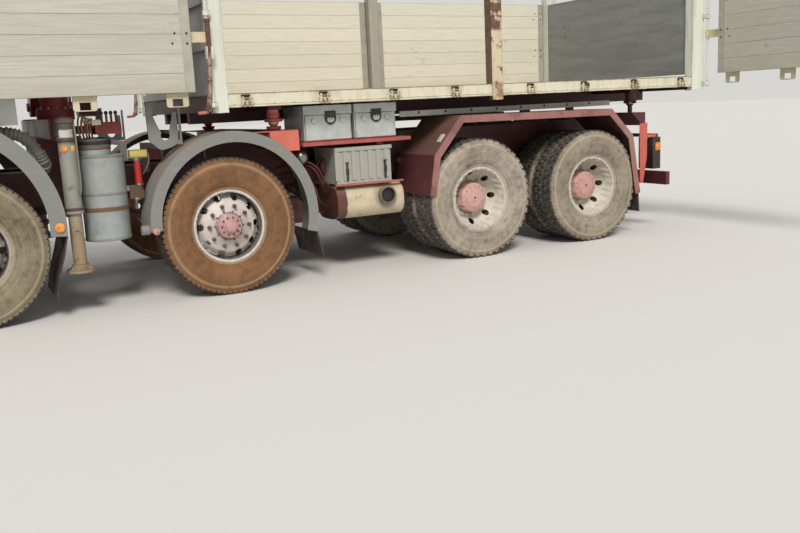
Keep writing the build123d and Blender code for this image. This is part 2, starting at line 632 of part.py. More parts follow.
tank_x = (-1790.0, -840.0)
with BuildPart() as fuel_tank:
    bar((tank_x[0] + 800, -1000, 1090), (tank_x[0] + 800, -1000, 1135), 55)
    for x in (tank_x[0] + 200, tank_x[1] - 200):
        block((x - 30, x + 30), (-1126, -552), (492, 1106))
        block((x - 31, x + 31), (-1118, -562), (502, 1098), Mode.SUBTRACT)
        block((x - 30, x + 30), (-570, -rail_half - fit_gap), (800, 1000))
    with BuildSketch(Plane.YZ.offset(tank_x[0])) as shell:
        with Locations((-840, 800)):
            RectangleRounded(560, 600, 90)
    extrude(shell.sketch, amount=tank_x[1] - tank_x[0], dir=(1, 0, 0))
save(fuel_tank.part, "fuel_tank")

with BuildPart() as air_tanks:
    for x, y, z, length in ((620, -640, 860, 500), (-1000, 570, 560, 430)):
        bar((x, y, z), (x + length, y, z), 125)
        for end in (0.2, 0.8):
            strap = (x + length * end - 20, x + length * end + 20)
            bar((strap[0], y, z), (strap[1], y, z), 130)
            block(strap, (copysign(rail_half + fit_gap, y), y), (z, max(z + 60, rail_low_z + 100)))
save(air_tanks.part, "air_tanks")

with BuildPart() as air_filter:
    x, y = filter_x, filter_y
    bar((x, y, filter_low_z), (x, y, filter_top_z), filter_r)
    bar((x, y, 770), (x, y, 800), filter_r + 5)
    bar((x + 35, y, filter_top_z - 5), (x + 35, y, filter_top_z + 68), 118)
    bar((x + 35, y, filter_top_z + 66), (x + 35, y, filter_top_z + 122), 124)
    block((x - 60, x + 60), (rail_half, y - 120), (860, 980))
    bar((valve_x, y + 15, 850), (valve_x, y + 15, 1160), 27.5)
    block((valve_x - 80, valve_x + 60), (y - 10, y + 40), (1152, 1216))
    block((valve_x - 27, valve_x + 83), (y - 15, y + 45), (838, 906))
    block((valve_x - 5, x - filter_r + 20), (y - 5, y + 35), (900, 940))
save(air_filter.part, "air_filter")


def arch_points(arch, start, end, steps, inset=0.0):
    """Points round an arch's circle between two angles, given in degrees up from +X."""
    r = arch["r"] - inset
    turns = [radians(start + (end - start) * i / steps) for i in range(steps + 1)]
    return [(arch["x"] + r * cos(a), arch["z"] + r * sin(a)) for a in turns]


# Plastic wheel arches, each a curved sheet with a lip along its outer edge
arches = []
for arch, start, end, flat_z in ((arch_1, 8.0, 185.0, arch_flat_z), (arch_2, -3.0, 195.0, 2000.0)):
    with BuildPart() as one_arch:
        for inset, y0, y1 in ((arch_t, arch_in_y, arch_out_y), (arch["lip"], arch_out_y - arch_t, arch_out_y)):
            over = [(x, min(z, flat_z)) for x, z in arch_points(arch, start, end, 40)]
            under = [(x, min(z, flat_z - inset)) for x, z in arch_points(arch, start, end, 40, inset)]
            side_plate(over + under[::-1], y0, y1)
    arches.append(one_arch.part)
stay_r = 14.0
with BuildPart() as arch_stays:
    for x, crown_z in ((arch_2["x"], arch_2["z"] + arch_2["r"]), (1700, arch_flat_z)):
        z = crown_z - arch_t - fit_gap - stay_r
        bar((x, rail_half + 2 * stay_r, z), (x, arch_out_y - 30, z), stay_r)
        bar((x, rail_half + fit_gap + stay_r, rail_top_z - 70), (x, rail_half + fit_gap + stay_r, z), stay_r)
        bar((x, rail_half + fit_gap + stay_r, z), (x, rail_half + 2 * stay_r, z), stay_r)
    lamp_z = arch_2["z"] - 20
    lamp_x = arch_2["x"] + arch_2["r"] + fit_gap
    bar((lamp_x, arch_out_y - 60, lamp_z), (lamp_x + 60, arch_out_y - 60, lamp_z), 38)
stays = arch_stays.part

# Grey forked bracket ahead of the bed, on an arm from the subframe
fork_y = 1100.0
with BuildPart() as fork:
    with BuildSketch(Plane.XZ.offset(-(fork_y - 10))) as outline:
        with BuildLine():
            Polyline((499, 1567), (560, 1569), (565, 1440), (559, 1279), (488, 1212), (458, 1203), (385, 1221),
                     (335, 1249), (326, 1350), (332, 1490), (359, 1492), (373, 1430), (398, 1331))
            ThreePointArc((398, 1331), (428, 1277), (460, 1335))
            Polyline((460, 1335), (492, 1406), (516, 1476), (499, 1567))
        make_face()
    extrude(outline.sketch, amount=20, dir=(0, 1, 0))
    block((300, 318), (fork_y - 8, fork_y + 8), (1240, 1540))
    block((300, 340), (fork_y - 8, fork_y + 8), (1240, 1275))
    block((430, 490), (rail_half + fit_gap, fork_y - 5), (1212, 1250))
    block((430, 490), (rail_half + fit_gap, rail_half + 20), (rail_top_z - 70, 1250))

save(Part(children=[p for one in (*arches, stays, fork.part) for p in (one, mirror(one, about=Plane.XZ))]), "wheel_arches")

# Folded steel fenders over the rear wheels
fender = [(-1860.0, 640.0), (-1920.0, 1000.0), (-2210.0, 1340.0), (-4020.0, 1322.0), (-4305.0, 1040.0), (-4406.0, 440.0)]
fender_out_y = 1268.0
fender_in = {6: [], 66: []}
for depth, line in fender_in.items():
    for i, (x, z) in enumerate(fender):
        before, after = fender[max(i - 1, 0)], fender[min(i + 1, len(fender) - 1)]
        legs = [(b[0] - a[0], b[1] - a[1]) for a, b in ((before, (x, z)), ((x, z), after)) if a != b]
        normals = [(-dz / hypot(dx, dz), dx / hypot(dx, dz)) for dx, dz in legs]
        nx, nz = (sum(n[k] for n in normals) / len(normals) for k in (0, 1))
        scale = depth / (nx * nx + nz * nz)
        line.append((x + nx * scale, z + nz * scale))
with BuildPart() as rear_fender:
    side_plate(fender + fender_in[6][::-1], 600, fender_out_y)
    side_plate(fender + fender_in[66][::-1], fender_out_y - 6, fender_out_y)
    for x0, x1 in ((-1906.3, -1866), (-4366, -4325.6)):
        block((x0, x1), (rail_half + fit_gap, 660), (920, 960))
save(both_sides(rear_fender.part), "rear_fenders")

# Mudflaps behind the second axle and behind the fourth
with BuildPart() as mudflap:
    flap_x, flap_z = arch_points(arch_2, 195, 195, 1)[0]
    side_plate([(flap_x + 2, flap_z - fit_gap), (flap_x - 10, flap_z - fit_gap), (flap_x - 60, 215), (flap_x - 48, 215)],
               arch_in_y + 10, arch_out_y - 10)
    side_plate([(-4396, 439 - fit_gap), (-4408, 439 - fit_gap), (-4422, 240), (-4410, 240)], 620, 1240)
save(both_sides(mudflap.part), "mudflaps")

# Rear underrun guard and lamps
with BuildPart() as rear_guard:
    block((-4895, -4845), (-1200, 1200), (480, 620))
    for side in (-1, 1):
        side_plate([(-4650, rail_low_z + 60), (-4560, rail_low_z + 60), (-4845, 480), (-4850, 620)],
                   *sorted((side * (rail_half + fit_gap), side * 450)))
        block((-4690, -4650), (side * (rail_half + fit_gap), side * 1230), (1000, 1035))
save(rear_guard.part, "rear_guard")
with BuildPart() as lamps:
    for side in (-1, 1):
        block((-4715, -4610), (side * 1030, side * 1240), (670, 1000 - fit_gap))
        with Locations(Location((front_x, side * 860, 760), (0, 90, 0))):
            Cylinder(90, 40, align=(Align.CENTER, Align.CENTER, Align.MAX))
        block((front_x - 25, front_x), (side * 990, side * 1090), (700, 820))
save(lamps.part, "lamps")
with BuildPart() as bumper:
    with BuildSketch(Plane.XY.offset(520)) as outline:
        Polygon((front_x - 220, -1140), (front_x, -1000), (front_x, 1000), (front_x - 220, 1140),
                (frame_front_x, 1140), (frame_front_x, -1140), align=None)
    extrude(outline.sketch, amount=360, dir=(0, 0, 1))
    block((frame_front_x - 10, front_x - 25), (-1160, 1160), (530, 872), Mode.SUBTRACT)
    block((frame_front_x - 10, front_x - 130), (-440, 440), (871, 881), Mode.SUBTRACT)
    block((front_x - 40, front_x), (-1000, 1000), (520, 880))
    block((frame_front_x + fit_gap, front_x - 38), (-300, 300), (700, 872))
    for side in (-1, 1):
        with Locations(Location((front_x, side * 860, 760), (0, 90, 0))):
            Cylinder(90 + fit_gap, 100, mode=Mode.SUBTRACT)
        block((front_x - 50, front_x + 5), (side * (990 - fit_gap), side * (1090 + fit_gap)), (700 - fit_gap, 820 + fit_gap), Mode.SUBTRACT)
save(bumper.part, "front_bumper")

# Loading crane: base with the outrigger tube, the column's seat and the control valves
with BuildPart() as crane_base:
    block((950, 1300), (-rail_half, rail_half), (rail_top_z + fit_gap, 1335))
    block((outrigger_x - 90, outrigger_x + 90), (-1000, 1000), (1330, 1480))
    for side in (-1, 1):
        block((outrigger_x - 75, outrigger_x + 75), (side * 60, side * 900), (1345, 1465), Mode.SUBTRACT)
        block((outrigger_x - 69 - fit_gap, outrigger_x + 69 + fit_gap), (side * 899, side * 1001),
              (1351 - fit_gap, 1459 + fit_gap), Mode.SUBTRACT)
    bar((column_x, column_y, 1470), (column_x, column_y, 1560), 150)
    block((930, 1085), (940, 990), (1360, 1420))
    block((760, 950), (960, 1120), (1350, 1440))
    for i in range(5):
        bar((785 + i * 35, 1080, 1435), (785 + i * 35, 1080, 1500), 9)
save(crane_base.part, "crane_base")

with BuildPart() as outrigger:
    block((outrigger_x - 69, outrigger_x + 69), (120, beam_end_y), (1351, 1459))
    block((outrigger_x - 75 + fit_gap, outrigger_x + 75 - fit_gap), (120, 220), (1345 + fit_gap, 1465 - fit_gap))
    bar((outrigger_x, leg_y, leg_low_z), (outrigger_x, leg_y, leg_top_z), leg_r)
    bar((outrigger_x, leg_y, leg_low_z), (outrigger_x, leg_y, leg_low_z + 30), leg_r + 8)
    bar((outrigger_x, leg_y, leg_low_z - 1), (outrigger_x, leg_y, leg_top_z - 15), 50 + fit_gap, Mode.SUBTRACT)
save(outrigger.part, "outrigger_left")
save(mirror(outrigger.part, about=Plane.XZ), "outrigger_right")
with BuildPart() as leg:
    bar((outrigger_x, leg_y, foot_z + 20), (outrigger_x, leg_y, 1400), 50)
    bar((outrigger_x, leg_y, foot_z), (outrigger_x, leg_y, foot_z + 22), 100)
    bar((outrigger_x, leg_y, foot_z + 20), (outrigger_x, leg_y, foot_z + 60), 62)
save(leg.part, "outrigger_leg_left")
save(mirror(leg.part, about=Plane.XZ), "outrigger_leg_right")


def boom_point(start, end, along, across=0.0):
    """The point this far from start towards end, and this far to the left of that line."""
    length = hypot(end[0] - start[0], end[1] - start[1])
    uy, uz = (end[0] - start[0]) / length, (end[1] - start[1]) / length
    return (start[0] + uy * along - uz * across, start[1] + uz * along + uy * across)


def boom_box(start, end, x0, x1, half, mode=Mode.ADD):
    """A straight box in the crane's own upright plane, from one y and z point to another."""
    length = hypot(end[0] - start[0], end[1] - start[1])
    corners = [boom_point(start, end, a, c) for a, c in ((0, half), (length, half), (length, -half), (0, -half))]
    cross_plate(corners, x0, x1, mode)


def pin(at, x0, x1, radius, mode=Mode.ADD):
    """A round pin along X at a y and z point."""
    bar((x0, *at), (x1, *at), radius, mode)


with BuildPart() as column:
    bar((column_x, column_y, 1560 + fit_gap), (column_x, column_y, 2300), column_r)
    for side in (-1, 1):
        cross_plate([(95, 2200), (305, 2200), (240, 3020), (150, 3050), (75, 3020)],
                    *sorted((column_x + side * 88, column_x + side * 108)))
    pin(luff_pin, column_x - 120, column_x + 120, 35)
    block((column_x + 80, luff_x + 70), (60, 170), (1850, 1950))
    for x in (luff_x - 70, luff_x + 55):
        cross_plate([(-150, 1860), (-150, 1940), (150, 1960), (150, 1840)], x, x + 15)
    pin(luff_base, luff_x - 70, luff_x + 70, 20)
save(column.part, "crane_column")


def cylinder_tube(start, end, x, reach, radius, bore):
    """A cylinder's tube with an eye at its start."""
    with BuildPart() as tube:
        near, far = boom_point(start, end, 20), boom_point(start, end, reach)
        bar((x, *near), (x, *far), radius)
        pin(start, x - radius + 2, x + radius - 2, radius - 6)
        bar((x, *boom_point(start, end, 60)), (x, *boom_point(start, end, reach + 1)), bore + fit_gap, Mode.SUBTRACT)
        pin(start, x - radius, x + radius, 20 + fit_gap, Mode.SUBTRACT)
    return tube.part


def cylinder_rod(start, end, x, radius, eye_half):
    """A cylinder's rod with an eye at its end, as wide as the space between the bosses that it swings past."""
    length = hypot(end[0] - start[0], end[1] - start[1])
    with BuildPart() as rod:
        bar((x, *boom_point(start, end, 66)), (x, *boom_point(start, end, length - 20)), radius)
        pin(end, x - eye_half, x + eye_half, rod_eye_r)
    return rod.part


save(cylinder_tube(luff_base, luff_eye, luff_x, 650, 50, 30), "luff_cylinder")
save(cylinder_rod(luff_base, luff_eye, luff_x, 30, luff_eye_half), "luff_rod")
save(cylinder_tube(fold_base, fold_eye, fold_x, 900, 45, 28), "fold_cylinder")
save(cylinder_rod(fold_base, fold_eye, fold_x, 28, fold_fork_half - fit_gap), "fold_rod")

inner_x = (inner_boom_x - boom_w / 2, inner_boom_x + boom_w / 2)
with BuildPart() as inner_boom:
    boom_box(luff_pin, elbow_pin, *inner_x, boom_half)
    pin(luff_pin, *inner_x, boom_half)
    pin(elbow_pin, *inner_x, boom_half)
    pin(luff_eye, inner_x[1] - 40, luff_x - luff_eye_half - fit_gap, rod_eye_r)
    cross_plate([luff_eye, boom_point(luff_pin, elbow_pin, 240, 50), boom_point(luff_pin, elbow_pin, 420, 50),
                 (luff_eye[0] + 12, luff_eye[1] - 30), (luff_eye[0] + 28, luff_eye[1] + 10)], inner_x[1] - 40, inner_x[1])
    pin(fold_base, fold_x - 55, inner_x[0] + 20, 20)
    cross_plate([boom_point(luff_pin, elbow_pin, 430, -60), boom_point(luff_pin, elbow_pin, 700, -60),
                 boom_point(luff_pin, elbow_pin, 590, -265), boom_point(luff_pin, elbow_pin, 530, -265)],
                inner_x[0], inner_x[0] + 25)
    pin(luff_pin, inner_x[0] - 1, inner_x[1] + 1, 35 + fit_gap, Mode.SUBTRACT)
    pin(elbow_pin, inner_x[0] - 1, inner_x[1] + 1, 40 + fit_gap, Mode.SUBTRACT)
save(inner_boom.part, "crane_inner_boom")

outer_x = (outer_boom_x - 80, outer_boom_x + 80)
with BuildPart() as outer_boom:
    boom_box(elbow_pin, tip_pin, *outer_x, boom_half)
    pin(elbow_pin, *outer_x, boom_half + 20)
    boom_box(boom_point(elbow_pin, tip_pin, 700), boom_point(elbow_pin, tip_pin, 2500), outer_x[0] + 12, outer_x[1] - 12,
             boom_half - 12, Mode.SUBTRACT)
    boom_box(boom_point(elbow_pin, tip_pin, 2499), boom_point(elbow_pin, tip_pin, 2700), outer_x[0] + 20 - fit_gap,
             outer_x[1] - 20 + fit_gap, boom_half - 20 + fit_gap, Mode.SUBTRACT)
    pin(elbow_pin, outer_x[0] - 15, inner_x[1] + 20, 40)
    for side in (-1, 1):
        near, far = sorted((fold_x + side * fold_fork_half, fold_x + side * (fold_fork_half + 18)))
        boom_box(elbow_pin, fold_eye, near, far, 55)
        pin(elbow_pin, near, far, 70)
        pin(fold_eye, near, far, 55)
        pin(fold_eye, *sorted((fold_x + side * (fold_fork_half + 17), fold_x + side * (fold_fork_half + 26))), 26)
save(outer_boom.part, "crane_outer_boom")

hook_at = boom_point(elbow_pin, tip_pin, 2760)
with BuildPart() as extension:
    boom_box(boom_point(elbow_pin, tip_pin, 900), hook_at, outer_x[0] + 20, outer_x[1] - 20, boom_half - 20)
    boom_box(boom_point(elbow_pin, tip_pin, 900), boom_point(elbow_pin, tip_pin, 1000), outer_x[0] + 12 + fit_gap,
             outer_x[1] - 12 - fit_gap, boom_half - 12 - fit_gap)
    pin(hook_at, outer_x[0] + 20, outer_x[1] - 20, boom_half - 20)
    bar((outer_boom_x, hook_at[0], hook_at[1] - 200), (outer_boom_x, *hook_at), 18)
    with BuildSketch(Plane.YZ.offset(outer_boom_x - 14)) as hook:
        with Locations((hook_at[0], hook_at[1] - 255)):
            Circle(70)
            Circle(38, mode=Mode.SUBTRACT)
        with Locations((hook_at[0] - 55, hook_at[1] - 225)):
            Rectangle(60, 60, mode=Mode.SUBTRACT)
    extrude(hook.sketch, amount=28, dir=(1, 0, 0))
save(extension.part, "crane_extension")

# Cab: hollow, with door, windscreen and rear-window openings, a lower front panel and tilting arms
cab_profile = [(cab_rear_x, cab_low_z), (cab_front_x, cab_low_z), (cab_front_x, waist_z), (screen_top_x, cab_roof_z - 60),
               (roof_front_x, cab_roof_z), (cab_rear_x + 50, cab_roof_z), (cab_rear_x, cab_roof_z - 50)]
cab_hollow = [(cab_rear_x + 45, cab_low_z + 30), (cab_front_x - 50, cab_low_z + 30), (cab_front_x - 50, waist_z),
              (screen_top_x - 55, cab_roof_z - 75), (roof_front_x - 10, cab_roof_z - 45), (cab_rear_x + 60, cab_roof_z - 45),
              (cab_rear_x + 45, cab_roof_z - 60)]
door_in_y = cab_half - cab_wall
hinge_x, hinge_out_y = door_front_x, cab_half + 15
door_hinges_z = (1560.0, 1900.0)
screen_low, screen_top = waist_z + 60, cab_roof_z - 170
step_rear_x = arch_1["x"] + arch_1["r"] + 29


def front_at(z):
    """The x of the cab's sloping front face at a height above the waist."""
    return cab_front_x + (screen_top_x - cab_front_x) * (z - waist_z) / (cab_roof_z - 60 - waist_z)


with BuildPart() as cab:
    side_plate(cab_profile, -cab_half, cab_half)
    fillet([e for e in cab.edges().filter_by(Axis.X) if e.center().Z > cab_roof_z - 5], 40)
    side_plate(cab_hollow, -door_in_y, door_in_y, Mode.SUBTRACT)
    for side in (-1, 1):
        block((door_rear_x, door_front_x), (side * (door_in_y - 1), side * (cab_half + 1)), (cab_low_z + 20, door_top_z),
              Mode.SUBTRACT)
    side_plate([(front_at(screen_low) - 80, screen_low), (front_at(screen_low) + 10, screen_low),
                (front_at(screen_top) + 10, screen_top), (front_at(screen_top) - 80, screen_top)], -980, 980, Mode.SUBTRACT)
    block((cab_rear_x - 1, cab_rear_x + 46), (-350, 350), (2260, 2640), Mode.SUBTRACT)
    block((cab_front_x - 45, cab_front_x), (-cab_half, cab_half), (cab_skirt_z, cab_low_z + 20))
    block((cab_front_x - 46, cab_front_x + 1), (-720, 720), (1090, 1430), Mode.SUBTRACT)
    for i in range(6):
        side_plate([(cab_front_x - 35, 1096 + i * 58), (cab_front_x, 1084 + i * 58), (cab_front_x, 1104 + i * 58),
                    (cab_front_x - 35, 1116 + i * 58)], -721, 721)
    for y in (-240, 240):
        block((cab_front_x - 45, cab_front_x - 20), (y - 10, y + 10), (cab_skirt_z + 5, cab_low_z))
    for side in (-1, 1):
        block((step_rear_x, cab_front_x), (side * door_in_y, side * cab_half), (cab_skirt_z, cab_low_z + 20))
        for z in (cab_skirt_z, cab_skirt_z + 215):
            block((step_rear_x + 25, cab_front_x - 90), (side * (door_in_y - 1), side * (cab_half + 1)), (z + 30, z + 180), Mode.SUBTRACT)
            block((step_rear_x, cab_front_x - 40), (side * 900, side * cab_half), (z, z + 30))
        block((step_rear_x, step_rear_x + 30), (side * 900, side * door_in_y), (cab_skirt_z, cab_low_z + 5))
        for z in door_hinges_z:
            bar((hinge_x, side * hinge_out_y, z), (hinge_x, side * hinge_out_y, z + 120), 9)
            for step in (0, 90):
                block((hinge_x, door_front_x + 60), (side * (cab_half - 5), side * (hinge_out_y + 9)), (z + step, z + step + 30))
                bar((hinge_x, side * hinge_out_y, z + step), (hinge_x, side * hinge_out_y, z + step + 30), 14)
        block((cab_pivot_x - 35, cab_pivot_x + 35), (side * 300, side * 355), (cab_pivot_z - 40, cab_low_z + 10))
        bar((cab_pivot_x, side * 299, cab_pivot_z), (cab_pivot_x, side * 356, cab_pivot_z), 20 + fit_gap, Mode.SUBTRACT)
        for z in (2160, 2640):
            bar((mirror_x, side * (cab_half - 5), z), (mirror_x + 10, side * mirror_out_y, z), 13)
        block((mirror_x - 25, mirror_x + 25), (side * (mirror_out_y - 200), side * mirror_out_y), (2130, 2680))
save(cab.part, "cab_shell")

door_gap = 6.0
with BuildPart() as door:
    block((door_rear_x + door_gap, door_front_x - door_gap), (door_in_y, cab_half), (cab_low_z + 20 + door_gap, door_top_z - door_gap))
    side_plate([(door_rear_x + 70, waist_z + 30), (door_front_x - 80, waist_z + 30), (door_front_x - 110, door_top_z - 80),
                (door_rear_x + 70, door_top_z - 80)], door_in_y - 1, cab_half + 1, Mode.SUBTRACT)
    block((door_rear_x + 40, door_rear_x + 180), (cab_half - 2, cab_half + 22), (waist_z - 90, waist_z - 60))
    for z in door_hinges_z:
        block((hinge_x - 70, hinge_x), (cab_half - 5, hinge_out_y + 9), (z + 30 + fit_gap, z + 90 - fit_gap))
        bar((hinge_x, hinge_out_y, z + 30 + fit_gap), (hinge_x, hinge_out_y, z + 90 - fit_gap), 14)
        bar((hinge_x, hinge_out_y, z + 29), (hinge_x, hinge_out_y, z + 91), 9 + fit_gap, Mode.SUBTRACT)
save(door.part, "door_left")
save(mirror(door.part, about=Plane.XZ), "door_right")

with BuildPart() as glass:
    low, high = screen_low + fit_gap, screen_top - fit_gap
    side_plate([(front_at(low) - 30, low), (front_at(low) - 22, low), (front_at(high) - 22, high),
                (front_at(high) - 30, high)], -980 + fit_gap, 980 - fit_gap)
    block((cab_rear_x + 18, cab_rear_x + 24), (fit_gap - 350, 350 - fit_gap), (2260 + fit_gap, 2640 - fit_gap))
save(glass.part, "cab_glass")

with BuildPart() as interior:
    for side in (-1, 1):
        block((seat_back_x + 70, seat_front_x), (side * 320, side * 860), (seat_z, seat_z + 120))
        block((seat_back_x, seat_back_x + 110), (side * 320, side * 860), (seat_z + 60, seat_z + 780))
        block((seat_back_x + 120, seat_front_x - 60), (side * 400, side * 780), (cab_low_z + 30 + fit_gap, seat_z + 10))
    block((dash_rear_x, cab_front_x - 50 - fit_gap), (60 - cab_half, cab_half - 60), (1700, 1990))
    block((cab_rear_x + 60, seat_back_x - 40), (100 - cab_half, cab_half - 100), (cab_low_z + 30 + fit_gap, 1800))
    with Locations(Location((dash_rear_x - 120, 590, 1980), (0, -65, 0))):
        Torus(225, 16)
        Cylinder(28, 30)
        Box(440, 34, 16)
    bar((dash_rear_x - 120, 590, 1980), (dash_rear_x + 20, 590, 1880), 25)
save(interior.part, "cab_interior")
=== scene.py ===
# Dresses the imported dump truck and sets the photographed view
import json
import math

import bpy
from mathutils import Matrix, Vector

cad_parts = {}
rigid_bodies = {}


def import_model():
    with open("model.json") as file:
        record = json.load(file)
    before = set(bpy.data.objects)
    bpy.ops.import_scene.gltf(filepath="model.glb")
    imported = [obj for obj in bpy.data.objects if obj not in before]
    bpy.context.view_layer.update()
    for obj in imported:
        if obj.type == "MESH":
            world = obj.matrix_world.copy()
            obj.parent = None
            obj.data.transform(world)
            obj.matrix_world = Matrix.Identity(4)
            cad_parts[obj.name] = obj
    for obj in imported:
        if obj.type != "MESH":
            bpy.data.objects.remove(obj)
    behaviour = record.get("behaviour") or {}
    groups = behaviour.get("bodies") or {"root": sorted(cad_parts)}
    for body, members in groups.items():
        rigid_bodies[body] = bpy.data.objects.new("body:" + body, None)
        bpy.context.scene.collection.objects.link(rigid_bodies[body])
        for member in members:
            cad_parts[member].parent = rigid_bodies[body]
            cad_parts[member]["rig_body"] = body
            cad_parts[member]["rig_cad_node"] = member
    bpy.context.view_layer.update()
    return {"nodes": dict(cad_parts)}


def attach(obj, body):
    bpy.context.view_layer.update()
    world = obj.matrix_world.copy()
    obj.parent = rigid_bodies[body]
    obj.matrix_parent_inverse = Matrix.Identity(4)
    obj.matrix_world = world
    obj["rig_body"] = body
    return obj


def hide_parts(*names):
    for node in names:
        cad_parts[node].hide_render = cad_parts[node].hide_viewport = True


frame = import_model()
nodes = frame["nodes"]
scene = bpy.context.scene

# The truck's own frame: x = 0 at the second axle, y = 0 on the centre line, in millimetres
truckOrigin = Vector((0.962, -1.25, 0.0))
acrossTruck = (Matrix.Translation((0, truckOrigin.y, 0)) @ Matrix.Scale(-1, 4, (0, 1, 0))
               @ Matrix.Translation((0, -truckOrigin.y, 0)))
axleHeight = 560.0


def truckPoint(x, y, z):
    return Vector((x / 1000, y / 1000, z / 1000)) + truckOrigin


def tint(red, green, blue):
    # screen colour, 0 to 255, to the linear colour that a shader wants
    def linear(c):
        return c / 255 / 12.92 if c < 11 else ((c / 255 + 0.055) / 1.055) ** 2.4
    return (linear(red), linear(green), linear(blue), 1.0)


# Modelling helpers

def pickOnly(*pieces):
    if bpy.context.object and bpy.context.object.mode != "OBJECT":
        bpy.ops.object.mode_set(mode="OBJECT")
    bpy.ops.object.select_all(action="DESELECT")
    for piece in pieces:
        piece.select_set(True)
    if pieces:
        bpy.context.view_layer.objects.active = pieces[0]


def applyAll(piece):
    pickOnly(piece)
    for modifier in list(piece.modifiers):
        bpy.ops.object.modifier_apply(modifier=modifier.name)
    return piece


def roundEdges(piece, width, segments=2, angle=40):
    bevel = piece.modifiers.new("Bevel", "BEVEL")
    bevel.width = width / 1000
    bevel.segments = segments
    bevel.limit_method = "ANGLE"
    bevel.angle_limit = math.radians(angle)
    return applyAll(piece)


def placed(name, bevel, segments=2):
    # the new primitive's place goes into its mesh
    piece = bpy.context.object
    bpy.ops.object.transform_apply(location=True, rotation=True, scale=True)
    piece.name = name
    return roundEdges(piece, bevel, segments) if bevel else piece


def addBox(name, low, high, bevel, segments=2):
    pickOnly()
    a, b = truckPoint(*low), truckPoint(*high)
    bpy.ops.mesh.primitive_cube_add(size=1, location=(a + b) / 2, scale=[abs(v) for v in b - a])
    return placed(name, bevel, segments)


def addRod(name, start, end, radius, sides=24, bevel=0.0):
    pickOnly()
    a, b = truckPoint(*start), truckPoint(*end)
    turn = (b - a).to_track_quat("Z", "Y").to_euler()
    bpy.ops.mesh.primitive_cone_add(vertices=sides, radius1=radius / 1000, radius2=radius / 1000,
                                    depth=(b - a).length, location=(a + b) / 2, rotation=turn)
    return placed(name, bevel)


def startLine(name, points):
    # one vertex, extruded from point to point
    pickOnly()
    bpy.ops.mesh.primitive_plane_add(size=0.01, location=(0, 0, 0))
    piece = bpy.context.object
    piece.name = name
    bpy.ops.object.mode_set(mode="EDIT")
    bpy.ops.mesh.select_all(action="SELECT")
    bpy.ops.mesh.merge(type="CENTER")
    bpy.ops.transform.translate(value=points[0])
    for last, point in zip(points, points[1:]):
        bpy.ops.mesh.extrude_vertices_move(TRANSFORM_OT_translate={"value": point - last})
    bpy.ops.mesh.select_all(action="SELECT")
    return piece


def facedOutward(piece):
    bpy.ops.mesh.normals_make_consistent(inside=False)
    bpy.ops.object.mode_set(mode="OBJECT")
    return piece


def addTurned(name, profile, centre, steps=64, axis="Y"):
    # profile: (radius, along the axis) pairs in millimetres, spun about the axis through centre
    middle = truckPoint(*centre)
    line = []
    for radius, along in profile:
        offset = {"X": (along, 0, radius), "Y": (0, along, radius), "Z": (radius, 0, along)}[axis]
        line.append(middle + Vector(offset) / 1000)
    piece = startLine(name, line)
    way = [float(axis == a) for a in "XYZ"]
    bpy.ops.mesh.spin(steps=steps, angle=math.tau, center=middle, axis=way, use_auto_merge=True)
    bpy.ops.mesh.select_all(action="SELECT")
    bpy.ops.mesh.remove_doubles(threshold=0.00005)
    return facedOutward(piece)


def addPlate(name, outline, thickness, bevel=0.0):
    # outline: closed loop of truck points in one plane, thickness: truck vector
    piece = startLine(name, [truckPoint(*p) for p in outline])
    bpy.ops.mesh.edge_face_add()
    bpy.ops.mesh.extrude_region_move(TRANSFORM_OT_translate={"value": Vector(thickness) / 1000})
    bpy.ops.mesh.select_all(action="SELECT")
    facedOutward(piece)
    return roundEdges(piece, bevel) if bevel else piece


def addPipe(name, points, radius, sides=5):
    # a smooth tube along a few truck points
    curve = bpy.data.curves.new(name, "CURVE")
    curve.dimensions = "3D"
    curve.bevel_depth = radius / 1000
    curve.bevel_resolution = sides
    curve.resolution_u = 8
    curve.use_fill_caps = True
    spline = curve.splines.new("NURBS")
    spline.points.add(len(points) - 1)
    for point, place in zip(spline.points, points):
        point.co = (*truckPoint(*place), 1)
    spline.order_u = 3
    spline.use_endpoint_u = True
    piece = bpy.data.objects.new(name, curve)
    scene.collection.objects.link(piece)
    pickOnly(piece)
    bpy.ops.object.convert(target="MESH")
    return bpy.context.object


def joined(name, pieces):
    pickOnly(*pieces)
    if len(pieces) > 1:
        bpy.ops.object.join()
    pieces[0].name = name
    return pieces[0]


def moved(piece, matrix):
    piece.data.transform(matrix)
    if matrix.determinant() < 0:
        piece.data.flip_normals()
    return piece


def twinOf(piece, name, matrix):
    twin = piece.copy()
    twin.data = piece.data.copy()
    twin.name = name
    scene.collection.objects.link(twin)
    return moved(twin, matrix)


def spread(piece, moves):
    # joins copies of the piece, each moved by a truck vector in millimetres
    name = piece.name
    copies = [twinOf(piece, name, Matrix.Translation(Vector(move) / 1000)) for move in moves]
    bpy.data.objects.remove(piece)
    return joined(name, copies)


def turnAbout(centre, degrees, axis):
    middle = Matrix.Translation(truckPoint(*centre))
    return middle @ Matrix.Rotation(math.radians(degrees), 4, axis) @ middle.inverted()


def repeatRound(piece, count, centre, axis="Y"):
    pivot = bpy.data.objects.new("pivot", None)
    scene.collection.objects.link(pivot)
    pivot.matrix_world = turnAbout(centre, 360 / count, axis)
    bpy.context.view_layer.update()
    array = piece.modifiers.new("Array", "ARRAY")
    array.use_relative_offset = False
    array.use_object_offset = True
    array.offset_object = pivot
    array.count = count
    applyAll(piece)
    bpy.data.objects.remove(pivot)
    return piece


def dress(piece, body, material, slot, angle=35):
    pickOnly(piece)
    bpy.ops.object.shade_smooth_by_angle(angle=math.radians(angle))
    piece.data.materials.clear()
    piece.data.materials.append(material)
    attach(piece, body)


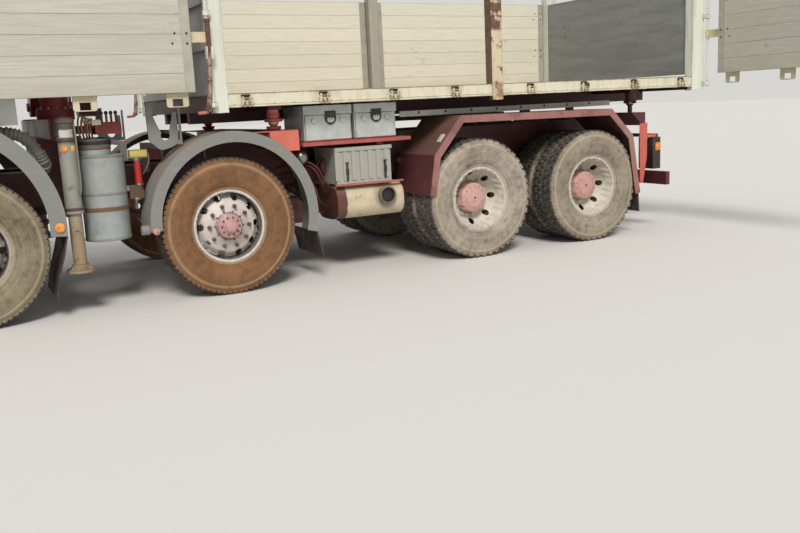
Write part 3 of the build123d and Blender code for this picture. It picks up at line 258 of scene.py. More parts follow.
def dressBoth(piece, body, material, slot):
    # the piece on the left, and its mirror image on the right
    twin = twinOf(piece, piece.name + "Right", acrossTruck)
    dress(piece, body, material, slot)
    dress(twin, body.replace("left", "right"), material, slot)


# Shader helpers: a wire is one socket, and sums on wires add their Math nodes

class Wire:
    def __init__(self, tree, socket=None):
        self.tree = tree
        self.socket = socket

    def node(self, kind, inputs=None, settings=None, out=0):
        made = self.tree.nodes.new(kind)
        for key, value in (settings or {}).items():
            setattr(made, key, value)
        for key, value in (inputs or {}).items():
            if isinstance(value, Wire):
                self.tree.links.new(value.socket, made.inputs[key])
            else:
                made.inputs[key].default_value = value
        return Wire(self.tree, made.outputs[out])

    def maths(self, operation, *others, clamp=False):
        values = dict(enumerate((self, *others)))
        return self.node("ShaderNodeMath", values, {"operation": operation, "use_clamp": clamp})

    def __add__(self, other):
        return self.maths("ADD", other)

    def __sub__(self, other):
        return self.maths("SUBTRACT", other)

    def __rsub__(self, other):
        return self.node("ShaderNodeMath", {0: other, 1: self}, {"operation": "SUBTRACT"})

    def __mul__(self, other):
        return self.maths("MULTIPLY", other)

    def __or__(self, other):
        # the stronger of two masks
        return self.maths("MAXIMUM", other)

    def __lt__(self, other):
        return self.maths("LESS_THAN", other)

    def __abs__(self):
        return self.maths("ABSOLUTE")

    __radd__ = __add__
    __rmul__ = __mul__

    def clamped(self):
        return self.maths("ADD", 0.0, clamp=True)

    def within(self, low, high):
        # 0 below low, 1 above high, smooth between; low above high turns it round
        inputs = {0: self, 1: low, 2: high, 3: 0.0, 4: 1.0}
        return self.node("ShaderNodeMapRange", inputs, {"interpolation_type": "SMOOTHSTEP"})

    def between(self, low, high, soft=0.001):
        return self.within(low - soft, low + soft) * self.within(high + soft, high - soft)

    def part(self, axis):
        return self.node("ShaderNodeSeparateXYZ", {0: self}, out="XYZ".index(axis))

    def inTruck(self):
        # truck x, distance from the centre line, and height, in metres
        return self.part("X") - truckOrigin.x, abs(self.part("Y") - truckOrigin.y), self.part("Z")

    def noise(self, scale, detail=4.0, rough=0.6, stretch=None):
        coords = self.node("ShaderNodeMapping", {0: self, 3: stretch}) if stretch else self
        inputs = {"Vector": coords, "Scale": scale, "Detail": detail, "Roughness": rough}
        return self.node("ShaderNodeTexNoise", inputs)

    def noises(self, *settings):
        # one noise for each tuple of scale, detail and roughness
        return [self.noise(*each) for each in settings]

    def upward(self):
        # how far the surface faces up
        return self.node("ShaderNodeNewGeometry", out=1).part("Z")

    def edges(self, radius=0.006):
        # 1 along sharp edges, where the rounded normal leaves the plain one
        rounded = self.node("ShaderNodeBevel", {0: radius}, {"samples": 4})
        plain = self.node("ShaderNodeNewGeometry", out=1)
        agree = self.node("ShaderNodeVectorMath", {0: rounded, 1: plain}, {"operation": "DOT_PRODUCT"}, out=1)
        return (1 - agree).within(0.02, 0.16)


def newMaterial(name):
    material = bpy.data.materials.new(name)
    material.use_nodes = True
    material.node_tree.nodes.clear()
    return material, Wire(material.node_tree).node("ShaderNodeTexCoord", out=3)


def mixed(factor, first, second):
    # between two colours; where all three are plain numbers, no node is needed
    wires = [value for value in (factor, first, second) if isinstance(value, Wire)]
    if not wires:
        return tuple(a + (b - a) * factor for a, b in zip(first, second))
    return wires[0].node("ShaderNodeMix", {0: factor, 6: first, 7: second}, {"data_type": "RGBA"}, out=2)


def closeMaterial(coords, colour, rough, height=None, metal=0.0, bump=0.3, distance=0.004, extra=None):
    inputs = {"Base Color": colour, "Roughness": rough, "Metallic": metal, **(extra or {})}
    if height is not None:
        relief = {"Strength": bump, "Distance": distance, "Height": height}
        inputs["Normal"] = coords.node("ShaderNodeBump", relief)
    shader = coords.node("ShaderNodeBsdfPrincipled", inputs)
    coords.tree.links.new(shader.socket, coords.tree.nodes.new("ShaderNodeOutputMaterial").inputs[0])


def region(strength=None, **edges):
    # a mask past soft edges: each of x, y and z goes from 0 at its first value to 1 at its second
    def where(coords):
        axes = dict(zip("xyz", coords.inTruck()))
        mask = None
        for axis, edge in edges.items():
            side = axes[axis].within(*edge)
            mask = side if mask is None else mask * side
        return mask if strength is None else mask * strength
    return where


dustTone = tint(158, 142, 118)
rustTone = tint(112, 66, 42)
cream = tint(214, 208, 184)


def paintedMetal(name, base, dirt=0.3, rust=0.1, rough=0.42, dust=dustTone, edges=True, parts=(),
                 metal=0.0, grain=0.25, darkLow=0.0, streaks=0.3, mottle=0.35):
    # worn paint: soft shade changes, settled dust, rain streaks, chips and rust along edges
    material, coords = newMaterial(name)
    broad, middle, fine = coords.noises((1.7, 5), (11.0, 6, 0.65), (95.0, 5, 0.7))
    streak = coords.noise(16.0, 4, 0.6, stretch=(1.0, 1.0, 0.12))
    colour = base
    for other, where in parts:
        colour = mixed(where(coords), colour, other)
    shade = mixed(middle.within(0.3, 0.7) * mottle, colour, mixed(0.55, colour, tint(40, 34, 30)))
    up = coords.upward().within(0.35, 0.95)
    settled = (broad.within(0.62 - 0.4 * dirt, 0.86 - 0.3 * dirt) * (0.35 + 0.5 * dirt)
               + up * (0.3 + 0.6 * dirt) + streak.within(0.5, 0.8) * (streaks * dirt)).clamped()
    dusty = mixed(settled * (0.55 + 0.45 * fine.within(0.35, 0.6)), shade, dust)
    spots = (middle * 0.6 + fine * 0.4).within(0.66 - 0.35 * rust, 0.70 - 0.3 * rust)
    if edges:
        worn = (middle * 0.7 + fine * 0.5).within(0.56 - 0.6 * rust, 0.66 - 0.5 * rust)
        spots = spots | coords.edges() * worn
    rusty = mixed(fine.within(0.3, 0.75), rustTone, tint(62, 38, 28))
    if darkLow:
        dusty = mixed(coords.part("Z").within(darkLow, darkLow - 0.45) * 0.6, dusty, tint(52, 44, 36))
    roughness = (rough + settled * 0.35 + spots * 0.3).clamped()
    relief = fine * 0.5 + spots * 0.9 + broad * 0.4
    closeMaterial(coords, mixed(spots, dusty, rusty), roughness, relief, metal, grain)
    return material


print("materials")
creamPaint = paintedMetal("creamPaint", cream, 0.35, 0.2)
maroonPaint = paintedMetal("maroonPaint", tint(92, 42, 44), 0.35, edges=False)
salmonPaint = paintedMetal("salmonPaint", tint(196, 92, 80), 0.3, 0.12)
greyPaint = paintedMetal("greyPaint", tint(150, 154, 148), 0.35, 0.15)
darkMetal = paintedMetal("darkMetal", tint(46, 42, 40), 0.5, rough=0.55, edges=False)
yellowPaint = paintedMetal("yellowPaint", tint(214, 188, 92), 0.3, 0.05, edges=False)
tankMetal = paintedMetal("tankMetal", tint(150, 152, 150), 0.3, 0.04, rough=0.32, metal=0.7)
filterMetal = paintedMetal("filterMetal", tint(140, 144, 142), 0.3, 0.18, rough=0.36, metal=0.1)
cranePaint = paintedMetal("cranePaint", tint(112, 30, 30), 0.3, 0.08, rough=0.36)
bumperPaint = paintedMetal("bumperPaint", tint(150, 152, 150), 0.35, 0.05, rough=0.5, edges=False)


def railHoleShade(coords):
    # painted shade: dark squares for the square holes every 290 mm along the slotted rail
    x, y, z = coords.inTruck()
    near = ((x + 1.93) * (1 / 0.2897)).maths("PINGPONG", 0.5) < 0.040
    return near * z.between(1.3715, 1.3945) * y.within(0.9920, 0.9928) * x.within(-1.90, -1.91)


def fenderLip(coords):
    # the fender's rolled edge, paler and worn in places
    y = coords.inTruck()[1]
    return y.within(1.258, 1.2605) * (0.55 + 0.45 * coords.noise(3.0, 3).within(0.4, 0.5))


frontBeamEnd = region(y=(0.60, 0.62), z=(1.10, 1.12), x=(-1.2, -1.1))
slottedRail = region(y=(0.9835, 0.9845), z=(1.350, 1.351))
# the slotted rail's holes are painted shade, near-black squares on its face
subframePaint = paintedMetal("subframePaint", tint(88, 40, 42), edges=False, parts=(
    (tint(222, 116, 98), frontBeamEnd), (tint(192, 194, 184), slottedRail), (tint(22, 18, 18), railHoleShade)))
fenderPaint = paintedMetal("fenderPaint", tint(100, 58, 58), 0.22, parts=((tint(154, 106, 100), fenderLip),))


def windowRing(along, across, low, high, left, right, band=0.024):
    # a band round a window opening, outside its low, high, left and right edges
    return along.between(left - band, right + band) * across.between(low - band, high + band)


def cabTrim(coords):
    # what is black on the cab: grille, mirrors and their arms, steps, window seals and door handles
    x, y, z = coords.inTruck()
    grille = x.within(3.279, 3.281) * y.within(0.722, 0.720) * z.between(1.075, 1.435)
    behind = x.between(3.28, 3.326) * z.between(1.03, 1.445) * y.within(0.735, 0.733)
    mirrors = y.within(1.143, 1.145) * z.within(2.10, 2.12)
    steps = z.between(1.0, 1.452) * x.between(2.98, 3.292) * y.within(0.89, 0.90)
    doors = windowRing(x, z, 2.08, 2.74, 2.32, 3.04) * y.within(1.09, 1.10)
    screen = windowRing(y, z, 2.11, 2.78, -1.0, 0.98) * x.within(3.10, 3.12)
    back = windowRing(y, z, 2.26, 2.64, -1.0, 0.35) * x.within(1.53, 1.52)
    handle = x.between(2.285, 2.435) * z.between(1.955, 1.995) * y.within(1.1402, 1.1412)
    hinges = y.within(1.1405, 1.1415) * x.within(3.04, 3.05) * z.within(1.95, 1.94)
    return grille | behind | mirrors | steps | doors | screen | back | (handle | hinges)


cabPaint = paintedMetal("cabPaint", tint(206, 207, 202), 0.08, 0.02, rough=0.26, edges=False, darkLow=1.5,
                        mottle=0.10, grain=0.06, parts=((tint(34, 34, 36), cabTrim),))


def silencerFront(coords):
    # the browned front end, with a ragged edge
    x = coords.inTruck()[0]
    return (x + 0.05 * coords.noise(9.0, 3)).within(-1.095, -1.085)


def silencerOutlet(coords):
    x, y = coords.inTruck()[:2]
    return y.within(1.0856, 1.0862) * x.between(-1.59, -1.41)


def silencerSoot(coords):
    # soot below and round the outlet
    x, y, z = coords.inTruck()
    far = ((x + 1.5) * (x + 1.5) + (z - 0.66) * (z - 0.66)).maths("SQRT")
    return (far + 0.04 * coords.noise(12.0, 4)).within(0.16, 0.10) * y.within(1.0, 1.05) * 0.45


def headLens(coords):
    x, y, z = coords.inTruck()
    far = ((y - 0.86) * (y - 0.86) + (z - 0.76) * (z - 0.76)).maths("SQRT")
    return far.within(0.084, 0.082) * x.within(3.40, 3.41)


turnLens = region(y=(0.984, 0.986), x=(3.40, 3.41))
lockerShelf = region(z=(1.2, 1.1985))
lampHousing = paintedMetal("lampHousing", tint(44, 36, 36), 0.3, 0.0, rough=0.4, edges=False, parts=(
    (tint(206, 212, 214), headLens), (tint(226, 128, 44), turnLens)))
silencerSteel = paintedMetal(
    "silencerSteel", tint(204, 190, 160), 0.3, 0.22, rough=0.5, dust=tint(150, 130, 104),
    parts=((tint(96, 60, 50), silencerFront), (tint(96, 84, 70), silencerSoot),
           (tint(120, 112, 98), silencerOutlet)))
lockerMetal = paintedMetal("lockerMetal", tint(190, 195, 190), 0.2, 0.04, rough=0.38, metal=0.2,
                           parts=((tint(180, 92, 86), lockerShelf),))


def legFoot(coords):
    # dried mud, thicker towards the foot
    return (coords.part("Z") + 0.12 * coords.noise(7.0, 5)).within(0.95, 0.50) * 0.75


def legPatch(coords):
    # what is left of a pale sticker, blank
    x, y, z = coords.inTruck()
    ragged = coords.noise(26.0, 4) * 0.03
    patch = (z + ragged).between(1.335, 1.415, 0.003) * (x + ragged).between(1.138, 1.236, 0.003)
    return patch * y.within(1.18, 1.19) * 0.85


legTopShade = region(0.9, z=(1.285, 1.315))    # painted shade: darker above 1.3 m, on the leg's top and on the beam that carries the leg
legParts = [(tint(66, 62, 62), legTopShade), (tint(214, 212, 204), legPatch), (tint(146, 130, 108), legFoot)]
legPaint = paintedMetal("legPaint", tint(146, 144, 134), 0.30, 0.24, 0.5, tint(138, 122, 100), parts=legParts)
footPaint = paintedMetal("footPaint", tint(152, 142, 124), 0.40, 0.24, 0.55, tint(148, 124, 96),
                         parts=[(tint(156, 130, 100), legFoot)])
filterPaint = paintedMetal("filterPaint", tint(158, 164, 162), 0.3, 0.12, rough=0.36, metal=0.1, parts=(
    (tint(176, 48, 38), region(x=(0.735, 0.73))),                          # the valve beside the canister
    (tint(150, 146, 92), region(x=(0.735, 0.73), z=(1.150, 1.1515))),      # its head
    (tint(96, 78, 62), region(x=(0.735, 0.73), z=(0.942, 0.940))),         # its foot
    (tint(112, 110, 102), region(z=(1.2585, 1.2605), x=(0.76, 0.77)))))    # the canister's cap


def plasticMaterial(name, base, dust=dustTone, dirt=0.5, rough=0.6):
    material, coords = newMaterial(name)
    broad, fine = coords.noises((2.3, 5), (140.0, 4, 0.7))
    scratch = coords.noise(30.0, 5, 0.7, stretch=(0.25, 1.0, 1.0))
    up = coords.upward().within(0.2, 0.95)
    settled = (up * (0.35 + 0.5 * dirt) + broad.within(0.5, 0.75) * dirt * 0.7).clamped()
    faded = mixed(scratch.within(0.5, 0.72) * 0.3, base, mixed(0.5, base, tint(190, 190, 186)))
    colour = mixed(settled * (0.5 + 0.5 * fine.within(0.35, 0.6)), faded, dust)
    closeMaterial(coords, colour, (rough + settled * 0.25).clamped(), fine + broad * 0.3, 0.0, 0.2, 0.002)
    return material


archPlastic = plasticMaterial("archPlastic", tint(126, 127, 123), tint(146, 118, 92), 0.62)
ductPlastic = plasticMaterial("ductPlastic", tint(160, 160, 152), tint(150, 138, 120), 0.4)
blackPlastic = plasticMaterial("blackPlastic", tint(38, 38, 40), dirt=0.3)
boxPlastic = plasticMaterial("boxPlastic", tint(160, 158, 148), tint(172, 156, 132), 0.5)
flapRubber = plasticMaterial("flapRubber", tint(62, 52, 48), tint(128, 106, 86), 0.6, 0.7)
trimPlastic = plasticMaterial("trimPlastic", tint(52, 53, 56), dirt=0.15, rough=0.5)


def boardMaterial(name, base, shadeDown, floorHeight=1.63, pitch=0.1429):
    # weathered boards: long grain, a seam at each board's edge, scuffs and dust towards the floor
    material, coords = newMaterial(name)
    grain = coords.noise(60.0, 6, 0.65, stretch=(0.06, 0.06, 1.0))
    broad = coords.noise(1.6, 5)
    scuff = coords.noise(22.0, 6, 0.7, stretch=(0.35, 0.35, 1.0))
    fine = coords.noise(180.0, 3, 0.6)
    height = coords.part("Z")
    board = (height - floorHeight) * (1 / pitch)
    tone = coords.node("ShaderNodeTexWhiteNoise", {"W": board.maths("FLOOR")}, {"noise_dimensions": "1D"})
    pale = mixed(grain.within(0.36, 0.66), mixed(shadeDown, base, tint(70, 68, 62)), base)
    varied = mixed(tone * 0.25, pale, mixed(0.4, base, tint(128, 124, 112)))
    stained = mixed(scuff.within(0.56, 0.74) * 0.55, varied, tint(206, 200, 184))
    dark = mixed((broad * 0.5 + scuff * 0.5).within(0.42, 0.30) * 0.55, stained, tint(92, 88, 80))
    seam = board.maths("PINGPONG", 0.5).within(0.03, 0.006)
    low = height.within(floorHeight + 0.16, floorHeight - 0.03) * (0.3 * broad.within(0.4, 0.6))
    colour = mixed(seam * 0.25, mixed(low, dark, tint(150, 132, 108)), tint(110, 104, 92))
    relief = grain * 0.6 + fine * 0.2 - seam * 0.6
    closeMaterial(coords, colour, (0.5 + fine * 0.3).clamped(), relief, 0.1, 0.3, 0.003)
    return material


gateBoards = boardMaterial("gateBoards", tint(192, 190, 174), 0.16)
# painted light: the right gates' boards are a paler, sunlit copy of the left gates' boards
innerBoards = boardMaterial("innerBoards", tint(234, 228, 206), 0.10)


def strapsPast(axis, edge, beyond):
    # the hinge straps: what lies past the gate's hinge end, in truck metres
    def where(coords):
        value = coords.part(axis) - truckOrigin["XYZ".index(axis)]
        return value.within(edge, edge + 0.002 * beyond)
    return where


def gateFrameMaterial(name, straps=None):
    # the gates' own frame, with painted keepers below it and straps at its hinge end
    parts = [(tint(208, 200, 168), region(z=(1.6305, 1.6295)))]
    if straps:
        parts.append((tint(214, 200, 162), straps))
    return paintedMetal(name, tint(176, 174, 158), rough=0.5, parts=parts, metal=0.1)


gateFrame = gateFrameMaterial("gateFrame")
gateFrames = {
    "gate_front_left": gateFrameMaterial("gateFrameFrontLeft", strapsPast("X", 0.228, -1)),
    "gate_rear_left": gateFrameMaterial("gateFrameRearLeft", strapsPast("Y", 1.493, -1)),
    "gate_front_right": gateFrameMaterial("gateFrameFrontRight", strapsPast("X", -0.058, 1)),
    "gate_rear_right": gateFrameMaterial("gateFrameRearRight", strapsPast("X", -5.127, -1)),
}


def tailgateMaterial():
    # grey sheet with rubbed streaks along it, scuffs and a few dark patches; its greys are set darker, in
    # part as painted shade
    material, coords = newMaterial("tailgatePaint")
    broad = coords.noise(2.6, 5)
    along = coords.noise(14.0, 6, 0.65, stretch=(1.0, 0.12, 1.0))
    middle, fine = coords.noises((9.0, 6, 0.7), (120.0, 5, 0.7))
    # both greys are partly painted shade: the inner face is set darker than the gates' paint
    shadedStreaks = mixed(along.within(0.32, 0.70), tint(122, 125, 123), tint(142, 143, 138))
    patched = mixed((broad * 0.6 + middle * 0.4).within(0.44, 0.34) * 0.5, shadedStreaks, tint(92, 92, 92))
    scuffed = mixed(middle.within(0.60, 0.76) * 0.3, patched, tint(178, 177, 166))
    spots = coords.edges(0.008) * middle.within(0.45, 0.58) | (middle * 0.5 + fine * 0.5).within(0.64, 0.67)
    colour = mixed(spots, scuffed, mixed(fine.within(0.3, 0.7), rustTone, tint(66, 46, 38)))
    roughness = (0.45 + 0.3 * along + spots * 0.2).clamped()
    closeMaterial(coords, colour, roughness, fine * 0.4 + along * 0.2, 0.1, 0.2)
    return material


def bedMaterial():
    # side rails cream with rust, the floor dusty, beams and bearers dark red below
    material, coords = newMaterial("bedPaint")
    x, y, z = coords.inTruck()
    broad, middle, fine = coords.noises((2.1, 5), (13.0, 6, 0.66), (110.0, 5, 0.7))
    streak = coords.noise(20.0, 4, 0.6, stretch=(1.0, 1.0, 0.15))
    rail = y.within(1.1985, 1.1995) * z.within(1.49, 1.50)
    floor = z.within(1.590, 1.5935) * y.within(1.2, 1.198)
    low = mixed(middle.within(0.35, 0.7) * 0.6, tint(84, 40, 42), tint(56, 34, 32))
    railShade = mixed(streak.within(0.45, 0.75) * 0.35, cream, tint(168, 158, 132))
    worn = mixed(broad.within(0.5, 0.68) * 0.4, railShade, tint(150, 140, 120))
    spots = (coords.edges(0.008) * (middle * 0.6 + fine * 0.5).within(0.46, 0.56)
             | (middle * 0.55 + fine * 0.45).within(0.63, 0.66))
    rusted = mixed(spots, worn, mixed(fine.within(0.35, 0.7), tint(124, 74, 46), tint(66, 42, 32)))
    sandy = mixed(broad.within(0.35, 0.65), tint(146, 130, 106), tint(108, 96, 80))
    railed = mixed(z.between(1.519, 1.523) * 0.7, rusted, tint(92, 76, 60))
    # the ball sockets below, and the worn places round the first latches
    socket = abs(x + 0.525).within(0.082, 0.080) * y.between(0.880, 1.040) * z.within(1.4702, 1.4698)
    pocket = (abs(x + 0.865).within(0.10, 0.03) | abs(x + 2.16).within(0.12, 0.03)) * z.within(1.535, 1.575)
    stained = mixed(pocket * middle.within(0.35, 0.55) * 0.8, railed, tint(176, 116, 58))
    lower = mixed(socket, low, mixed(middle.within(0.4, 0.7) * 0.5, tint(224, 128, 112), tint(160, 96, 84)))
    colour = mixed(floor, mixed(rail, lower, stained), sandy)
    roughness = (0.5 + 0.35 * floor + spots * 0.25).clamped()
    closeMaterial(coords, colour, roughness, fine * 0.5 + spots * 0.8 + middle * floor, 0.0, 0.3)
    return material


def postMaterial():
    # cream posts, the middle one rusty higher up and with painted shade on its forward side, and the
    # headboard's grey sheet
    material, coords = newMaterial("postPaint")
    x, y, z = coords.inTruck()
    middle, fine = coords.noises((12.0, 6, 0.68), (105.0, 5, 0.7))
    streak = coords.noise(18.0, 4, 0.6, stretch=(1.0, 1.0, 0.1))
    signed = coords.part("Y") - truckOrigin.y
    board = y.within(1.1655, 1.1635)
    midPost = abs(x + 2.63).within(0.075, 0.07) * signed.within(1.163, 1.166)
    farPost = abs(x + 2.63).within(0.075, 0.07) * signed.within(-1.163, -1.166)
    rearHalf = x.within(-2.5, -2.54)
    clean = mixed(farPost, tint(214, 216, 202), tint(156, 144, 128))
    dirty = mixed(midPost, clean, tint(204, 190, 158))
    stained = mixed(midPost * z.within(1.65, 1.60) * middle.within(0.38, 0.62), dirty, tint(150, 112, 82))
    # painted shade: the middle post's forward side face dark brown
    base = mixed(midPost * x.within(-2.5715, -2.5705), stained, tint(106, 78, 62))
    paint = mixed(streak.within(0.42, 0.75) * (0.3 + 0.2 * rearHalf), base, tint(150, 136, 112))
    spots = (coords.edges(0.010) * (middle * 0.65 + fine * 0.5).within(0.46, 0.60)
             | (middle * 0.6 + fine * 0.4).within(0.63, 0.66))
    heavy = midPost * (z * 0.5 + middle * 1.5 - 1.50).within(0.27, 0.42)
    rust = mixed(fine.within(0.3, 0.72), tint(122, 92, 74), tint(70, 50, 42))
    sheetTone = mixed(streak.within(0.4, 0.7) * 0.5, tint(158, 158, 150), tint(120, 118, 110))
    colour = mixed(board, mixed(spots | heavy, paint, rust), sheetTone)
    roughness = (0.48 + spots * 0.35 + heavy * 0.35).clamped()
    closeMaterial(coords, colour, roughness, fine * 0.5 + (spots + heavy) * 0.8, 0.0, 0.3)
    return material


def wheelRadius(coords, axleX):
    middle = truckPoint(axleX, 0, axleHeight)
    x = coords.part("X") - middle.x
    z = coords.part("Z") - middle.z
    return (x * x + z * z).maths("SQRT")


def tyreMaterial(name, axleX, mud, amount):
    # rubber under dried mud: sidewalls are coated, tread blocks are rubbed clean and grooves are full of dust
    material, coords = newMaterial(name)
    radius = wheelRadius(coords, axleX)
    broad, middle, fine = coords.noises((3.2, 5), (17.0, 6, 0.65), (150.0, 4, 0.7))
    rubber = mixed(middle.within(0.35, 0.7) * 0.6, tint(42, 42, 45), tint(70, 67, 64))
    wall = radius.within(0.555, 0.535) * (amount + 0.25 * (broad - 0.5))
    groove = radius.within(0.5535, 0.548) * 0.15
    tread = radius.within(0.552, 0.557) * 0.225
    patch = ((wall + groove + tread).clamped() * (0.75 + 0.5 * middle.within(0.3, 0.62))).clamped()
    rings = ((radius + (broad - 0.5) * 0.012) * 330.0).maths("SINE")
    turned = coords.node("ShaderNodeCombineXYZ", {0: radius * 60.0, 1: 0.0, 2: 0.0}).noise(1.0, 3)
    shades = (broad * 0.35 + middle * 0.25 + turned * 0.4).within(0.38, 0.62)
    mudTone = mixed(shades, mixed(0.62, mud, tint(70, 50, 36)), mud)
    banded = mixed(radius.between(0.488, 0.512, 0.008) * 0.5, mudTone, mixed(0.5, mud, tint(206, 182, 146)))
    scuffed = mixed(radius.within(0.325, 0.30) * 0.35, banded, tint(186, 174, 150))
    colour = mixed(patch, rubber, scuffed)
    relief = fine * 0.5 + middle * 0.4 + rings * 0.12
    closeMaterial(coords, colour, (0.72 + patch * 0.2).clamped(), relief, 0.0, 0.4, 0.003)
    return material


def rimMaterial(name, axleX, base, hub, hubRadius, gutterShade):
    # a painted disc and hub, with painted shade in the gutter where the disc meets the rim, and a dirty
    # collar between disc and hub
    material, coords = newMaterial(name)
    radius = wheelRadius(coords, axleX)
    broad, middle, fine = coords.noises((4.0, 5), (24.0, 6, 0.65), (160.0, 4, 0.7))
    paint = mixed(radius.within(hubRadius + 0.004, hubRadius), base, hub)
    # painted shade: a dark ring in the recessed gutter at the disc's outer edge
    paint = mixed(radius.between(0.261, 0.276, 0.003) * gutterShade, paint, tint(40, 34, 30))
    collar = radius.between(hubRadius + 0.002, hubRadius + 0.018, 0.004) * middle.within(0.3, 0.5)
    paint = mixed(collar * 0.7, paint, tint(74, 48, 40))
    grime = (broad * 0.5 + middle * 0.5).within(0.42, 0.64) * 0.42
    dirty = mixed(grime, paint, mixed(0.5, paint, tint(92, 78, 66)))
    chips = coords.edges(0.005) * middle.within(0.42, 0.55) | (middle * 0.5 + fine * 0.5).within(0.63, 0.67)
    colour = mixed(chips, dirty, mixed(fine, rustTone, tint(70, 46, 34)))
    roughness = (0.5 + chips * 0.3 + fine * 0.1).clamped()
    closeMaterial(coords, colour, roughness, fine * 0.5 + chips * 0.6, 0.0, 0.3, 0.002)
    return material


tailgatePaint = tailgateMaterial()
bedPaint = bedMaterial()
postPaint = postMaterial()
hubs = {"front": dict(hubRadius=0.098, gutterShade=0.85), "rear": dict(hubRadius=0.142, gutterShade=0.0)}
# where each axle stands, how much mud its tyres carry, and the tones of mud, disc and hub
axles = {
    1: dict(kind="front", x=1930.0, amount=0.80, tones=((140, 130, 106), (160, 154, 142), (150, 112, 104))),
    2: dict(kind="front", x=0.0, amount=0.97, tones=((134, 95, 62), (206, 196, 188), (188, 146, 142))),
    3: dict(kind="rear", x=-2433.0, amount=0.90, tones=((172, 162, 146), (196, 190, 174), (200, 158, 148))),
    4: dict(kind="rear", x=-3799.0, amount=0.88, tones=((158, 149, 130), (194, 188, 172), (196, 150, 140))),
}
for number, axle in axles.items():
    mud, disc, hub = [tint(*tone) for tone in axle["tones"]]
    axle["tyreMaterial"] = tyreMaterial(f"tyre{number}", axle["x"], mud, axle["amount"])
    axle["rimMaterial"] = rimMaterial(f"rim{number}", axle["x"], disc, hub, **hubs[axle["kind"]])


def plainMaterial(name, colour, rough=0.4, metal=0.0, patch=None):
    material, coords = newMaterial(name)
    fine, broad = coords.noises((120.0, 4, 0.7), (5.0, 4))
    shade = mixed(broad.within(0.4, 0.7) * 0.3, colour, mixed(0.5, colour, tint(90, 80, 70)))
    if patch:
        shade = mixed(coords.noise(38.0, 3, 0.5).within(0.42, 0.62) * 0.6, shade, patch)
    closeMaterial(coords, shade, (rough + (fine - 0.5) * 0.15).clamped(), fine, metal, 0.1, 0.001)
    return material


chrome = plainMaterial("chrome", tint(205, 205, 205), 0.14, 1.0)
steel = plainMaterial("steel", tint(150, 148, 142), 0.35, 0.9)
amberLens = plainMaterial("amberLens", tint(214, 122, 40), 0.3, patch=tint(236, 176, 96))
fadedLens = plainMaterial("fadedLens", tint(168, 112, 98), 0.5, patch=tint(190, 158, 146))
yellowLens = plainMaterial("yellowLens", tint(226, 174, 66), 0.35, patch=tint(238, 214, 140))
redLens = plainMaterial("redLens", tint(170, 36, 30), 0.2)
whiteLens = plainMaterial("whiteLens", tint(228, 228, 222), 0.15)
rubberDark = plainMaterial("rubberDark", tint(34, 33, 33), 0.7)
hoseRed = plainMaterial("hoseRed", tint(84, 34, 34), 0.55)


def glassMaterial():
    material, coords = newMaterial("windowGlass")
    dust = coords.noise(3.0, 6, 0.7).within(0.45, 0.75)
    closeMaterial(coords, tint(168, 182, 184), 0.05, extra={"Alpha": 0.30 + 0.25 * dust, "IOR": 1.45})
    return material


windowGlass = glassMaterial()

cadFinish = [
    (maroonPaint, "knuckle_1_left knuckle_1_right knuckle_2_left knuckle_2_right axles leaf_springs"),
    (maroonPaint, "chassis_frame tipping_cylinder air_tanks rear_guard"),
    (darkMetal, "engine_block propeller_shafts"),
    (steel, "tipping_cylinder_stage tipping_cylinder_rod"),
    (cranePaint, "crane_base crane_column luff_cylinder fold_cylinder"),
    (cranePaint, "crane_inner_boom crane_outer_boom crane_extension"),
    (chrome, "luff_rod fold_rod"),
    (legPaint, "outrigger_left outrigger_right"),
    (footPaint, "outrigger_leg_left outrigger_leg_right"),
    (cabPaint, "cab_shell door_left door_right"),
    (windowGlass, "cab_glass"), (trimPlastic, "cab_interior"), (subframePaint, "tipping_subframe"),
    (bedPaint, "bed_frame"), (postPaint, "posts_and_headboard"), (tailgatePaint, "tailgate"),
    (lockerMetal, "lockers"), (boxPlastic, "battery_box"), (silencerSteel, "silencer"),
    (tankMetal, "fuel_tank"), (filterPaint, "air_filter"), (archPlastic, "wheel_arches"),
    (fenderPaint, "rear_fenders"), (flapRubber, "mudflaps"), (lampHousing, "lamps"),
    (bumperPaint, "front_bumper"),
]
for material, names in cadFinish + [(material, name) for name, material in gateFrames.items()]:
    for name in names.split():
        nodes[name].data.materials.clear()
        nodes[name].data.materials.append(material)

# Wheels
print("wheels")
nutMetal = paintedMetal("nutMetal", tint(104, 84, 76), rust=0.5, rough=0.6)
# across the truck to each tyre's middle, blocks round the tread, and steps of the turned profile
tyreBuild = dict(front=1075, rearOuter=1095, rearInner=745, frontBlocks=74, rearBlocks=46, steps=120)
# the bead's radius in metres, and the hand holes of a rear wheel's outer disc in millimetres
rimBuild = dict(bead=0.2975, holes=8, holeRing=234, holeRadius=28, holeInner=1000, holeOuter=1105)


def wallProfile(side, top):
    # bead to shoulder on one side, with the two fine rings that a sidewall has
    wall = [(290, 104), (297, 114), (312, 124), (322, 125), (326, 129), (350, 143), (395, 155), (432, 160),
            (470, 158.5), (492, 154), (496, 156), (504, 155.5), (508, 152), (528, 145), (top, 138)]
    return [(r, side * y) for r, y in wall]


def addFrontTyre(name, y):
    # four grooves round the crown, and notches along both shoulders
    crown = [(539, -134), (545, -100), (545, -96)]
    for groove in (-92, -34, 34, 92):
        top = 558 - abs(groove) * 0.02
        lead = 6 if abs(groove) > 90 else 7
        crown += [(top, groove - lead), (543, groove - 4), (543, groove + 4), (top, groove + 6)]
    crown += [(545, 96), (545, 100), (539, 134)]
    crown.sort(key=lambda point: point[1])
    profile = wallProfile(-1, 540) + crown + wallProfile(1, 540)[::-1]
    centre = (0, y, axleHeight)
    pieces = [addTurned(name, profile, centre, tyreBuild["steps"])]
    for side in (-1, 1):
        inner, outer = sorted((y + side * 99, y + side * 145))
        block = addBox("shoulder", (-19.2, inner, axleHeight + 528), (19.2, outer, axleHeight + 557), 3, 1)
        pieces.append(repeatRound(block, tyreBuild["frontBlocks"], centre))
    return joined(name, pieces)


